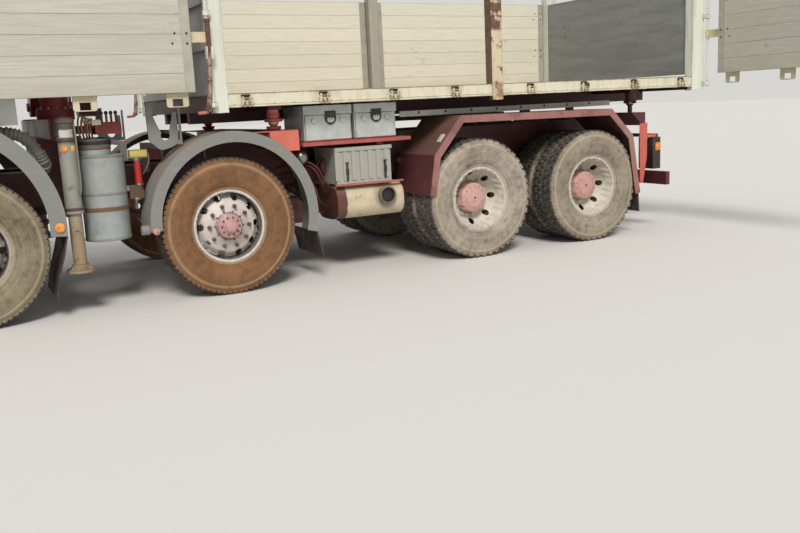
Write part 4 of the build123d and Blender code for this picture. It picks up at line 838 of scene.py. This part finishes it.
def addDriveTyre(name, y):
    # four rows of skewed blocks
    crown = [(541, -130), (543, -60), (543, 60), (541, 130)]
    profile = wallProfile(-1, 536) + crown + wallProfile(1, 536)[::-1]
    centre = (0, y, axleHeight)
    pieces = [addTurned(name, profile, centre, tyreBuild["steps"])]
    rows = [(-108, 62, 14, 0.0), (108, 62, -14, 0.5), (-38, 60, -28, 0.5), (38, 60, 28, 0.0)]
    for across, width, skew, phase in rows:
        half, foot = (27, 524) if abs(across) > 60 else (24, 538)
        low = (-half, y + across - width / 2, axleHeight + foot)
        block = addBox("block", low, (half, y + across + width / 2, axleHeight + 559.5), 3.5, 1)
        moved(block, turnAbout((0, y + across, axleHeight + 550), skew, "Z"))
        moved(block, turnAbout(centre, phase * 360 / tyreBuild["rearBlocks"], "Y"))
        pieces.append(repeatRound(block, tyreBuild["rearBlocks"], centre))
    return joined(name, pieces)


def addBolts(name, rings):
    pieces = []
    for ring, count, y0, y1, radius, sides in rings:
        bolt = addRod(name, (0, y0, axleHeight + ring), (0, y1, axleHeight + ring), radius, sides, 1.2)
        pieces.append(repeatRound(bolt, count, (0, 0, axleHeight)))
    return joined(name, pieces)


def rimFromCad(name, node, axleX):
    # the CAD wheel's metal: everything that lies inside the bead
    rim = nodes[node].copy()
    rim.data = nodes[node].data.copy()
    rim.name = name
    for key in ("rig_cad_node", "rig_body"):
        if key in rim:
            del rim[key]
    rim.parent = None
    scene.collection.objects.link(rim)
    pickOnly(rim)
    bpy.ops.object.mode_set(mode="EDIT")
    bpy.ops.mesh.select_all(action="SELECT")
    bpy.ops.mesh.remove_doubles(threshold=0.00001)
    bpy.ops.mesh.select_all(action="DESELECT")
    bpy.ops.object.mode_set(mode="OBJECT")
    middle = truckPoint(axleX, 0, axleHeight)
    for vertex in rim.data.vertices:
        vertex.select = math.hypot(vertex.co.x - middle.x, vertex.co.z - middle.z) > rimBuild["bead"]
    bpy.ops.object.mode_set(mode="EDIT")
    bpy.ops.mesh.select_linked()
    bpy.ops.mesh.delete(type="VERT")
    bpy.ops.object.mode_set(mode="OBJECT")
    return rim


def cutHandHoles(rim, axleX, side):
    height = axleHeight + rimBuild["holeRing"]
    ends = [(axleX, side * rimBuild[end], height) for end in ("holeInner", "holeOuter")]
    drill = addRod("drill", *ends, rimBuild["holeRadius"])
    repeatRound(drill, rimBuild["holes"], (axleX, 0, axleHeight))
    cut = rim.modifiers.new("Holes", "BOOLEAN")
    cut.operation = "DIFFERENCE"
    cut.object = drill
    cut.solver = "EXACT"
    applyAll(rim)
    bpy.data.objects.remove(drill)


rearTyres = [addDriveTyre("driveTyreOuter", tyreBuild["rearOuter"]),
             addDriveTyre("driveTyreInner", tyreBuild["rearInner"])]
# bolt rings: ring radius, count, inner and outer end, bolt radius, sides
wheelMasters = {
    "front": dict(
        tyre=addFrontTyre("frontTyre", tyreBuild["front"]),
        nuts=addBolts("frontNuts", [
            (167.5, 10, 1168, 1196, 16.5, 6), (167.5, 10, 1168, 1206, 9, 12), (74, 10, 1210, 1221, 8.5, 6),
            (120, 10, 1160, 1172, 8, 10)]),
        cap=addTurned("frontCap", [
            (0, 100), (52, 100), (56, 138), (60, 140), (60, 147), (50, 152), (44, 166), (30, 172), (0, 173)],
            (0, tyreBuild["front"], axleHeight), 32)),
    "rear": dict(
        tyre=joined("driveTyres", rearTyres),
        nuts=addBolts("rearNuts", [
            (176, 10, 1008, 1036, 16.5, 6), (176, 10, 1008, 1046, 9, 12), (112, 14, 1112, 1121, 7.5, 6)]),
        cap=addTurned("rearCap", [
            (0, -60), (88, -60), (92, 19), (92, 24), (84, 26), (30, 27), (26, 30), (0, 31)],
            (0, tyreBuild["rearOuter"], axleHeight), 40),
        plug=addRod("hubPlug", (0, 1124, axleHeight), (0, 1131, axleHeight), 9, 12, 1)),
}
stem = [(0, y, axleHeight + rise) for y, rise in ((1120, 262), (1150, 250), (1172, 226))]
valve = addPipe("valve", stem, 4.5, 3)

for number, axle in axles.items():
    masters = wheelMasters[axle["kind"]]
    finishes = {
        "tyre": (axle["tyreMaterial"], "tyre_rubber", 38),
        "nuts": (nutMetal if axle["kind"] == "front" else axle["rimMaterial"], "bed_paint", 30),
        "cap": (axle["rimMaterial"], "red_paint", 30),
        "plug": (rubberDark, "black_rubber", 35),
    }
    # each wheel stands turned a little differently
    turned = turnAbout((0, 0, axleHeight), 23 * number + 7, "Y")
    for side, sign in (("left", 1), ("right", -1)):
        node, body, label = f"wheel_{number}_{side}", f"{side}_wheel_{number}", f"{number}{side.title()}"
        move = Matrix.Translation((axle["x"] / 1000, 0, 0))
        if side == "right":
            move = acrossTruck @ move
        rim = rimFromCad("rim" + label, node, axle["x"])
        if axle["kind"] == "rear":
            cutHandHoles(rim, axle["x"], sign)
        dress(rim, body, axle["rimMaterial"], "bed_paint", 30)
        for kind, master in masters.items():
            piece = twinOf(master, kind + label, move @ turned if kind in ("tyre", "nuts") else move)
            dress(piece, body, *finishes[kind])
            if kind == "tyre":
                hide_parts(node)
        dress(twinOf(valve, "valve" + label, move @ turned), body, steel, "steel")
for master in [*wheelMasters["front"].values(), *wheelMasters["rear"].values(), valve]:
    bpy.data.objects.remove(master)

# Gates: boards on both faces, bolts and a top cap, made in the gate's own frame
print("gates")
latchPaint = paintedMetal("latchPaint", tint(206, 196, 164), rust=0.34)
gateBuild = dict(
    height=1000.0, stile=74.0, inner=-60.0, outer=-15.0, seam=0.7, innerBoards=7, outerBoards=6,
    outerLow=71.0, outerHigh=929.0,
    bolts=((0, 0), (112, 0), (0, 74), (90, 74), (0, 460), (112, 460), (0, 534), (90, 534)))


def gateMatrix(x, y, flipX, flipY, turn=0):
    # from the gate's own frame to its hinge post, at the foot of the gates
    return (Matrix.Translation(truckOrigin) @ Matrix.Translation(Vector((x, y, 1630)) / 1000)
            @ Matrix.Rotation(math.radians(turn), 4, "Z") @ Matrix.Diagonal((flipX, flipY, 1, 1))
            @ Matrix.Translation(-truckOrigin))


frontGate, rearGate = dict(gap=145, length=2500), dict(gap=195, length=2425)
gates = {
    "gateFrontLeft": dict(frontGate, body="front_left_gate", matrix=gateMatrix(85, 1300, 1, -1)),
    "gateRearLeft": dict(rearGate, body="rear_left_gate", matrix=gateMatrix(-5320, 1300, 1, 1, 90)),
    "gateFrontRight": dict(frontGate, body="front_right_gate", matrix=gateMatrix(85, -1300, -1, -1)),
    "gateRearRight": dict(rearGate, body="rear_right_gate", matrix=gateMatrix(-5320, -1300, 1, -1)),
}


def addBoards(name, start, end, near, far, low, high, count, bevel):
    # boards of one width, one above another, with a fine seam between them
    pitch = (high - low) / count
    foot = max(low, 1)
    board = addBox(name, (start, near, foot), (end, far, low + pitch - gateBuild["seam"]), bevel)
    return spread(board, [(0, 0, i * pitch) for i in range(count)])


for name, gate in gates.items():
    gap, far = gate["gap"], gate["gap"] + gate["length"]
    start, end = gap + gateBuild["stile"] + 1, far - gateBuild["stile"] - 1
    inner, outer = gateBuild["inner"], gateBuild["outer"]
    boards = addBoards(name + "Inner", start, end, inner - 3, inner + 1, 0, gateBuild["height"],
                       gateBuild["innerBoards"], 0.9)
    backs = addBoards(name + "Outer", start, end, outer - 8.5, outer - 3, gateBuild["outerLow"],
                      gateBuild["outerHigh"], gateBuild["outerBoards"], 0.8)
    panel = joined(name + "Boards", [boards, backs])
    bolt = addRod(name + "Bolt", (gap + 32, inner + 1, 361), (gap + 32, inner - 5, 361), 9, 12, 1.5)
    bolts = spread(bolt, [(dx, 0, dz) for dx, dz in gateBuild["bolts"]])
    cap = addBox(name + "TopCap", (gap - 1, inner - 2, 996), (far + 1, outer + 2, 1003), 2)
    # the right gates take the paler, painted-light copy of the boards
    face = gateBoards if "left" in gate["body"] else innerBoards
    for piece, *finish in ((panel, face, "gate_panel", 18), (bolts, darkMetal, "steel", 30),
                           (cap, gateFrame, "gate_panel", 30)):
        dress(moved(piece, gate["matrix"]), gate["body"], *finish)

# Latches on the side rails, one for each keeper: a dark plate as painted shade in its pocket, and a claw of
# three fingers on a neck
latch = dict(x=(-193, -865, -1530, -2160, -3003, -3657, -4311, -4965), half=50, low=1507, high=1575)
latch["claw"] = [(1288, 1552), (1297, 1556), (1304, 1542), (1302, 1518), (1292, latch["low"]), (1286, 1512),
                 (1292, 1526), (1292, 1540)]
latchParts = [addBox("latchNeck", (-34, 1264, 1538), (34, 1289, 1571), 4),
              addBox("latchPalm", (-latch["half"], 1287.5, 1542), (latch["half"], 1297, latch["high"]), 4)]
for x in (-36, 0, 36):
    latchParts.append(addPlate("latchClaw", [(x - 10, y, z) for y, z in latch["claw"]], (20, 0, 0), 2.5))
for x in (-32, 32):
    latchParts.append(addRod("latchEar", (x, 1291, 1577), (x, 1299, 1577), 12, 16, 2))
latchPlaces = [(x, 0, 0) for x in latch["x"]]
dressBoth(spread(joined("latches", latchParts), latchPlaces), "bed", latchPaint, "bed_paint")
# painted shade: thin dark plates above each latch and on its palm stand for the shade in the pocket and the
# slot
pocketShades = [addBox("latchPocketShades", (-40, 1269, 1573), (40, 1271.5, 1601), 1, 1),
           addBox("latchSlotShades", (-20, 1296.5, 1557), (20, 1298, 1569), 0.5, 1)]
dressBoth(spread(joined("latchPocketShades", pocketShades), latchPlaces), "bed", rubberDark, "black_rubber")

# Rivets along the rail's lower edge
rivet = addRod("railRivets", (-100, 1262, 1528), (-100, 1264.5, 1528), 5, 10, 0.8)
rivetRows = dict(pitch=168.0, rows=((0, 15), (-2680, 14)))
rivets = spread(rivet, [(first - i * rivetRows["pitch"], 0, 0) for first, count in rivetRows["rows"]
                        for i in range(count)])
dressBoth(rivets, "bed", creamPaint, "bed_paint")

# Lockers: flat-topped dishes with a round lower edge, and in each a paddle and a keyhole
print("equipment")
locker = dict(x=(-990, -1430), y=1104.3, top=1440, low=1322)
locker["paddle"] = [(-36, 1364), (-26, 1392), (-13, 1376), (0, 1394), (13, 1376), (26, 1392), (36, 1364),
                    (20, 1342), (-20, 1342)]
dishes, paddles = [], []
for x in locker["x"]:
    y = locker["y"]
    turns = [math.radians(a) for a in range(180, 361, 20)]
    rounded = [(x + 52 * math.cos(a), y, locker["low"] + 54 + 54 * math.sin(a)) for a in turns]
    dish = [(x - 52, y, locker["top"]), *rounded, (x + 52, y, locker["top"])]
    dishes.append(addPlate("lockerLatch", dish, (0, 3, 0), 1.5))
    y += 3
    paddles.append(addPlate("paddle", [(x + dx, y, z) for dx, z in locker["paddle"]], (0, 5, 0), 2))
    paddles.append(addRod("keyhole", (x, y, 1356), (x, y + 8, 1356), 8, 14, 1))
dress(joined("lockerLatches", dishes), "chassis", blackPlastic, "black_rubber")
dress(joined("lockerPaddles", paddles), "chassis", lockerMetal, "steel")

# Battery box: straps with buckles, and a bar along its foot
straps = []
for x in (-1128, -1504):
    straps.append(addBox("strap", (x - 12, 1087, 826), (x + 12, 1092, 980), 1.5))
    straps.append(addBox("buckle", (x - 15, 1090, 880), (x + 15, 1098, 940), 3))
    straps.append(addRod("strapPin", (x - 17, 1094, 985), (x + 17, 1094, 985), 5, 12, 1))
dress(joined("batteryStraps", straps), "chassis", blackPlastic, "black_rubber")
bar = joined("boxStrap", [addBox("boxStrap", (-1690, 1062, 781), (-1035, 1086, 797), 5, 3),
                          addRod("strapEnd", (-1035, 1074, 789), (-1010, 1074, 789), 9, 14, 2)])
dress(bar, "chassis", salmonPaint, "red_paint")

# Silencer: end seams round its rounded section, the outlet's rolled lip and the soot inside, with a dark disc
# across the outlet that is also painted shade for the pipe's hollow
silencer = dict(seams=(-1683, -1030), y=860, z=632, halfWidth=229, halfHeight=151.5)
outletAt = (-1500, 1075, 673)


def squared(value, power):
    return math.copysign(abs(value) ** power, value)


silencerTrim = []
for x in silencer["seams"]:
    outline = []
    for i in range(48):
        t = math.tau * i / 48
        outline.append((x, silencer["y"] + silencer["halfWidth"] * squared(math.cos(t), 0.55),
                        silencer["z"] + silencer["halfHeight"] * squared(math.sin(t), 0.72)))
    silencerTrim.append(addPlate("seam", outline, (10, 0, 0), 2))
lip = [(66, 50), (66, 56), (72, 60), (80, 56), (82, 48), (79, 40)]
silencerTrim.append(addTurned("outletLip", lip, outletAt, 40))
dress(joined("silencerSeams", silencerTrim), "chassis", silencerSteel, "silencer_steel")
# soot and painted shade: a dark disc across the outlet and a dark ring inside its lip
sootAndShade = [addRod("outletSootAndShade", (-1500, 1100.5, 673), (-1500, 1103, 673), 65.5, 40),
        addTurned("outletSootAndShadeRing", [(65.5, 26), (64.6, 52), (65.6, 56)], outletAt, 40)]
dress(joined("outletSootAndShade", sootAndShade), "chassis", rubberDark, "black_rubber")

# Air filter: bands round the canister, a clamp, the rain cap and the red valve's plate, nut and pipe
canister, rainCap = (915, 985, 0), (950, 985, 0)
bands = [addTurned("band", [(172, z - 9), (176, z - 7), (176, z + 7), (172, z + 9)], canister, 56, "Z")
         for z in (550, 900, 1186)]
dress(joined("filterBands", bands), "chassis", filterMetal, "filter_plastic")
clamps = [addTurned("clampBand", [(177, 772), (179.5, 774), (179.5, 796), (177, 798)], canister, 56, "Z"),
          addTurned("capRing", [(116, 1236), (121, 1238), (121, 1252), (116, 1254)], rainCap, 48, "Z")]
dress(joined("filterClamps", clamps), "chassis", plainMaterial("rustyBand", tint(112, 76, 52), 0.7), "steel")
capProfile = [(0, 1330), (50, 1329), (96, 1324), (120, 1314), (127, 1298), (126, 1276), (118, 1262)]
dress(addTurned("filterCap", capProfile, rainCap, 48, "Z"), "chassis", blackPlastic, "filter_plastic")
dress(addBox("valvePlate", (572, 1024, 1162), (698, 1029, 1208), 2), "chassis", yellowPaint, "steel")
pipe = [(590, 1005, 1180), (560, 1010, 1210), (548, 1000, 1130), (575, 985, 1060), (600, 960, 1020)]
valveParts = [addRod("valveNut", (645, 1000, 1128), (645, 1000, 1154), 34, 6, 2),
              addRod("valveFoot", (672, 1000, 822), (672, 1000, 842), 38, 24, 3),
              addRod("valveRing", (645, 1000, 936), (645, 1000, 952), 33, 24, 2),
              addPipe("valvePipe", pipe, 7, 3)]
dress(joined("valveParts", valveParts), "chassis", steel, "steel")

# Brake hoses held at both ends, and the silver cap and brake chambers on their stays
hoses = [
    (11, [(-640, 700, 900), (-720, 900, 940), (-800, 960, 860), (-830, 980, 700), (-940, 900, 640)]),
    (9, [(-640, 700, 860), (-760, 930, 900), (-860, 1000, 800), (-870, 1000, 660), (-1000, 900, 600)]),
    (12, [(-640, 640, 960), (-780, 860, 1010), (-900, 940, 940), (-960, 920, 760), (-1020, 860, 700)]),
    (8, [(-660, 720, 1000), (-760, 980, 1040), (-880, 1040, 960), (-930, 1030, 820), (-1030, 960, 760)]),
    (10, [(-640, 660, 820), (-700, 860, 760), (-780, 940, 640), (-880, 900, 560), (-1000, 820, 540)]),
]
airHoses = joined("airHoses", [addPipe("airHose", points, radius, 3) for radius, points in hoses])
dress(airHoses, "chassis", hoseRed, "black_rubber")
silverCap = [(0, 60), (26, 58), (46, 46), (58, 24), (62, 0), (62, -120), (0, -120)]
dress(addTurned("silverCap", silverCap, (-752, 960, 1054), 40), "chassis", steel, "steel")
dress(addBox("capArm", (-775, 420, 1040), (-729, 842, 1070), 3), "chassis", maroonPaint, "chassis_paint")
chamber = [(0, 60), (60, 58), (80, 44), (84, 12), (94, 8), (94, -8), (84, -12), (80, -50), (56, -62),
           (0, -64)]
chambers = []
for x, y, z in ((-1060, 800, 951), (-905, 700, 880)):
    chambers.append(addTurned("chamber", chamber, (x, y, z), 40))
    chambers.append(addBox("chamberStay", (x - 20, 424, z - 20), (x + 20, y - 50, z + 20), 3))
dress(joined("brakeChambers", chambers), "chassis", maroonPaint, "chassis_paint")

# Crane leg: a yellow mark and an amber disc turned a little aside, rings, the line and the foot's ribs
legX, legY = 1170, 1150
legAt = (legX, legY, 0)
mark = addBox("legMark", (legX - 15, legY + 60.5, 1240), (legX + 15, legY + 64.5, 1282), 1.5)
dressBoth(moved(mark, turnAbout(legAt, 34, "Z")), "left_outrigger", yellowLens, "lamp_plastic")
disc = addRod("legDisc", (legX, legY + 58, 1262), (legX, legY + 67, 1262), 25, 28, 2)
dressBoth(moved(disc, turnAbout(legAt, -26, "Z")), "left_outrigger", amberLens, "lamp_plastic")
rings = []
for z in (812, 1330, 1462):
    ring = [(62, z - 14), (70, z - 12), (72, z), (70, z + 12), (62, z + 14)]
    rings.append(addTurned("legRing", ring, legAt, 40, "Z"))
dressBoth(joined("legRings", rings), "left_outrigger", darkMetal, "crane_paint")
line = [(1115, 1222, 1440), (1112, 1226, 1380), (1112, 1226, 1200), (1112, 1226, 1010), (1116, 1218, 930),
        (1124, 1200, 915)]
dressBoth(addPipe("legLine", line, 7, 4), "left_outrigger", steel, "steel")
footRib = addPlate("footRib", [(1170, 1203, 352), (1170, 1245, 356), (1170, 1205, 395)], (6, 0, 0), 1)
dressBoth(repeatRound(footRib, 6, legAt, "Z"), "left_leg", greyPaint, "crane_paint")

# Markers on the arches, lenses of the rear lamps, and the rear fenders' stays and clamps
for name, x, z, depth, radius, lens in (("archMarkerFront", 1297, 694, 13, 36, amberLens),
                                        ("archMarkerRear", 604, 588, 14, 28, fadedLens)):
    marker = addRod(name, (x, 1249, z), (x, 1249 + depth, z), radius, 24, 4)
    dressBoth(marker, "chassis", lens, "lamp_plastic")


def addLens(name, low, high):
    return addBox(name, (-4723, 1042, low), (-4713, 1228, high), 5, 3)


redPair = joined("rearLenses", [addLens("rearLens", 757, 830), addLens("rearLens", 837, 910)])
dressBoth(redPair, "chassis", redLens, "lamp_plastic")
turns = [addLens("rearTurn", 917, 990), addBox("sideMark", (-4712, 1238, 862), (-4640, 1251, 943), 5, 3)]
dressBoth(joined("rearTurns", turns), "chassis", amberLens, "lamp_plastic")
dressBoth(addLens("rearWhite", 680, 750), "chassis", whiteLens, "lamp_plastic")
stay = [(-4424, 1232, 1150), (-4532, 1232, 1156), (-4526, 1232, 800), (-4474, 1232, 534), (-4428, 1232, 534)]
stays = [addPlate("fenderStay", stay, (0, 6, 0), 1.5),
         addBox("fenderStayArm", (-4654, 1222, 1001), (-4480, 1232, 1031), 2)]
dressBoth(joined("fenderStays", stays), "chassis", salmonPaint, "red_paint")
clamp = addBox("fenderClamp", (-2046, 1150, 1100), (-2034, 1216, 1190), 4)
dressBoth(moved(clamp, turnAbout((-2040, 1180, 1145), -40.4, "Y")), "chassis", creamPaint, "bed_paint")

# Rubber flaps: the inner sheet behind the second axle and the flap behind the first
innerFlap = [(-736, 437), (-748, 437), (-798, 215), (-786, 215)]
frontFlap = [(1246, 628), (1254, 628), (1292, 480), (1342, 330), (1376, 170), (1368, 166), (1334, 328),
             (1284, 478)]
flaps = [addPlate("flapInner", [(x, 686, z) for x, z in innerFlap], (0, 244, 0), 1),
         addPlate("flapFront", [(x, 690, z) for x, z in frontFlap], (0, 556, 0), 1)]
dressBoth(joined("flaps", flaps), "chassis", flapRubber, "black_rubber")

# Hinge hardware at the front post: the cream block, the flaky handle rod and its bent tip
dressBoth(addBox("hingeBlock", (52, 1286, 1872), (112, 1336, 1972), 8, 3), "bed", creamPaint, "bed_paint")
handle = [(84, 1318, 2160), (86, 1322, 1985), (92, 1326, 1860), (104, 1324, 1640), (130, 1322, 1486)]
rod = joined("handleRod", [addPipe("handle", handle, 19, 4),
                           addRod("handleEnd", (84, 1318, 2150), (84, 1318, 2176), 24, 16, 4),
                           addRod("handleFoot", (128, 1322, 1478), (133, 1322, 1512), 26, 16, 4)])
rodTop = region(0.9, z=(1.96, 1.99))    # above the hinge block most of the paint is gone
flakyPaint = paintedMetal("flakyPaint", tint(162, 138, 130), 0.35, 0.56, parts=((tint(88, 62, 58), rodTop),))
dressBoth(rod, "bed", flakyPaint, "bed_paint")
tip = addPipe("handleTip", [(132, 1322, 1480), (160, 1322, 1470), (214, 1322, 1471)], 13, 4)
dressBoth(tip, "bed", salmonPaint, "red_paint")

# Collars and cup round the front ball pivots
pivotAt = (-525, 960, 0)
lowCollar = [(49, 1400), (70, 1400), (77, 1394), (77, 1378), (70, 1371), (67, 1371)]
highCollar = [(49, 1440), (58, 1438), (58, 1420), (49, 1418)]
collar = joined("pivotCollar", [addTurned("collar", lowCollar, pivotAt, 40, "Z"),
                                addTurned("collarUpper", highCollar, pivotAt, 40, "Z"),
                                addBox("collarLug", (-610, 948, 1378), (-590, 972, 1396), 4)])
dressBoth(collar, "bed", salmonPaint, "red_paint")
cup = [(25, 1296), (46, 1299), (62, 1312), (64, 1328), (58, 1334), (34, 1330)]
dressBoth(addTurned("pivotCup", cup, pivotAt, 40, "Z"), "chassis", salmonPaint, "red_paint")

# Ribbed intake duct above the first wheel arch
duct = dict(radius=41, ribs=26, first=0.12, last=0.92, points=[
    (1760, 430, 1330), (1750, 760, 1388), (1650, 850, 1394), (1550, 870, 1397), (1438, 870, 1366),
    (1336, 870, 1241), (1300, 850, 1150), (1290, 720, 1110), (1290, 560, 1100)])
ductParts = [addPipe("duct", duct["points"], duct["radius"], 4)]
for i in range(duct["ribs"]):
    share = duct["first"] + (duct["last"] - duct["first"]) * i / (duct["ribs"] - 1)
    k, rest = divmod(share * (len(duct["points"]) - 1), 1)
    start, end = Vector(duct["points"][int(k)]), Vector(duct["points"][int(k) + 1])
    here, way = start.lerp(end, rest), (end - start).normalized()
    ductParts.append(addRod("ductRib", here - way * 9, here + way * 9, 47, 20, 5))
dress(joined("intakeDuct", ductParts), "chassis", ductPlastic, "black_rubber", 50)

# Hoses, fittings and lever knobs at the crane's valve block
valveHoses = []
for i, (x, y) in enumerate(((1062, 1090), (1040, 1104), (1016, 1096), (1000, 1108), (978, 1092))):
    points = [(x - 60, 1060, 1400), (x - 34, y, 1500 - 10 * i), (x, y + 4, 1490 - 14 * i), (x + 8, y, 1400),
              (x - 6, y - 8, 1330 + 6 * i), (x - 20, 1010, 1306)]
    valveHoses.append(addPipe("valveHose", points, 7 + i % 2, 3))
hoseRust = paintedMetal("hoseRust", tint(128, 78, 58), 0.4, 0.4)
dress(joined("valveHoses", valveHoses), "chassis", hoseRust, "black_rubber")
fittings = [addBox("fitting", (905, 1092, 1420), (972, 1128, 1462), 5),
            addBox("fitting", (960, 1075, 1440), (1030, 1104, 1476), 5)]
dress(joined("valveFittings", fittings), "chassis", creamPaint, "bed_paint")
knob = [(0, 16), (9, 13), (14, 4), (14, -6), (8, -14), (0, -14)]
knobs = [addTurned("leverKnob", knob, (785 + i * 35, 1080, 1508), 16, "Z") for i in range(5)]
dress(joined("leverKnobs", knobs), "chassis", blackPlastic, "black_rubber")

print("cab")
# Windows in the doors
for name, y0, thick, body in (("doorGlassLeft", 1115, 5, "cab"), ("doorGlassRight", -1120, 5, "right_door")):
    corners = [(2321, y0, 2081), (3039, y0, 2081), (3009, y0, 2739), (2321, y0, 2739)]
    dress(addPlate(name, corners, (0, thick, 0)), body, windowGlass, "clear_glass")


def onScreen(y, z, out):
    # a point that stands out from the leaning windscreen
    return (3330 - 115 * (z - 2050) / 840 + out, y, z)


# Wipers, headlamps, the column's bolts and mirror glass
wipers = []
for y in (-560, 320):
    arm = [onScreen(y, 2078, 4), onScreen(y + 60, 2180, 16), onScreen(y + 190, 2400, 14)]
    blade = [onScreen(y - 20, 2300, 6), onScreen(y + 190, 2400, 6), onScreen(y + 400, 2500, 6)]
    wipers += [addPipe("wiperArm", arm, 7, 3), addPipe("wiperBlade", blade, 6, 3),
               addRod("wiperBoss", onScreen(y, 2074, -6), onScreen(y, 2078, 12), 20, 16, 3)]
dress(joined("wipers", wipers), "cab", blackPlastic, "black_rubber")
lampAt = (3420, 860, 760)
ring = addTurned("headRing", [(80, -2), (82, 4), (88, 5), (92, 1), (92, -3)], lampAt, 40, "X")
lens = addTurned("headLens", [(0, 7), (40, 6), (70, 3.5), (82, 0)], lampAt, 40, "X")
dressBoth(ring, "chassis", chrome, "steel")
dressBoth(lens, "chassis", whiteLens, "lamp_plastic")
bolt = addRod("columnBolt", (1100, 332, 1559), (1100, 332, 1576), 13, 6, 2)
dress(repeatRound(bolt, 12, (1100, 200, 0), "Z"), "chassis", steel, "steel")
for name, y0, y1 in (("mirrorGlassLeft", 1232, 1408), ("mirrorGlassRight", -1408, -1232)):
    dress(addBox(name, (3152, y0, 2150), (3154.5, y1, 2660), 1), "cab", chrome, "clear_glass")

# Roof hatch, rain gutters and the front panel's seams
hatch = joined("roofHatch", [addBox("hatch", (2180, -330, 2948), (2760, 330, 2972), 12, 3),
                             addBox("hatchSeal", (2168, -342, 2948), (2772, 342, 2955), 2)])
dress(hatch, "cab", cabPaint, "cab_paint")
gutter = [(1560, 1139, 2872), (1560, 1152, 2878), (1560, 1154, 2890), (1560, 1149, 2882), (1560, 1139, 2880)]
dressBoth(addPlate("roofGutter", gutter, (1500, 0, 0)), "cab", cabPaint, "cab_paint")
seams = [(-1128, 1128, 1478, 1483), (-1128, 1128, 2040, 2045), (-1062.5, -1057.5, 1483, 2040),
         (1057.5, 1062.5, 1483, 2040)]
frontSeams = [addBox("frontSeam", (3329, y0, z0), (3331.2, y1, z1), 0.8, 1) for y0, y1, z0, z1 in seams]
dress(joined("frontSeams", frontSeams), "cab", rubberDark, "black_rubber")

# Camera, light and floor
print("view")
# colours of floor, backdrop and sky, and in degrees the sun's azimuth from +X, height and width
look = dict(
    floor=tint(214, 211, 205), sky=tint(215, 214, 210), skyLight=tint(236, 239, 245), skyStrength=0.6,
    sunColour=(1.0, 0.97, 0.93), sunStrength=2.7, sunAzimuth=68, sunHeight=44, sunWidth=18)
# the photograph's own camera: place in metres, turn, tilt and roll in radians, a lens of 859 px across 800
photo = dict(place=(3.0497, 6.6955, 1.4739), yaw=0.4941, pitch=0.1875, roll=-0.048,
             sensor=36, focus=859 / 800)


def addFloor():
    pickOnly()
    bpy.ops.mesh.primitive_plane_add(size=160, location=(0, 0, 0))
    floor = bpy.context.object
    floor.name = "floor"
    material, coords = newMaterial("paleFloor")
    closeMaterial(coords, look["floor"], 0.9)
    floor.data.materials.append(material)


def addWorld():
    # a cool sky lights the truck, and the camera, glass and metal see a pale backdrop in its place
    world = bpy.data.worlds.new("studio")
    scene.world = world
    world.use_nodes = True
    tree = world.node_tree
    tree.nodes.clear()
    wire = Wire(tree)
    path = wire.node("ShaderNodeLightPath", out=0)
    for ray in ("Is Glossy Ray", "Is Transmission Ray"):
        path = path | wire.node("ShaderNodeLightPath", out=ray)
    light = wire.node("ShaderNodeBackground", {0: look["skyLight"], 1: look["skyStrength"]})
    seen = wire.node("ShaderNodeBackground", {0: look["sky"], 1: 1.0})
    both = wire.node("ShaderNodeMixShader", {0: path, 1: light, 2: seen})
    tree.links.new(both.socket, tree.nodes.new("ShaderNodeOutputWorld").inputs[0])


def addSun():
    sun = bpy.data.lights.new("key", "SUN")
    sun.energy = look["sunStrength"]
    sun.angle = math.radians(look["sunWidth"])
    sun.color = look["sunColour"]
    a, h = math.radians(look["sunAzimuth"]), math.radians(look["sunHeight"])
    holder = bpy.data.objects.new("key", sun)
    way = Vector((math.cos(a) * math.cos(h), math.sin(a) * math.cos(h), math.sin(h)))
    holder.rotation_euler = way.to_track_quat("Z", "Y").to_euler()
    scene.collection.objects.link(holder)


def addCamera():
    yaw, pitch, roll = photo["yaw"], photo["pitch"], photo["roll"]
    forward = Vector((-math.sin(yaw) * math.cos(pitch), -math.cos(yaw) * math.cos(pitch), -math.sin(pitch)))
    right = forward.cross(Vector((0, 0, 1))).normalized()
    up = right.cross(forward)
    rolledRight = right * math.cos(roll) + up * math.sin(roll)
    rolledUp = up * math.cos(roll) - right * math.sin(roll)
    lens = bpy.data.cameras.new("photoCamera")
    lens.sensor_width = photo["sensor"]
    lens.sensor_fit = "HORIZONTAL"
    lens.lens = photo["sensor"] * photo["focus"]
    lens.clip_end = 400
    camera = bpy.data.objects.new("photoCamera", lens)
    axes = Matrix((rolledRight, rolledUp, -forward)).transposed()
    camera.matrix_world = Matrix.Translation(photo["place"]) @ axes.to_4x4()
    scene.collection.objects.link(camera)
    scene.camera = camera


addFloor()
addWorld()
addSun()
addCamera()
scene.view_settings.view_transform = "Standard"
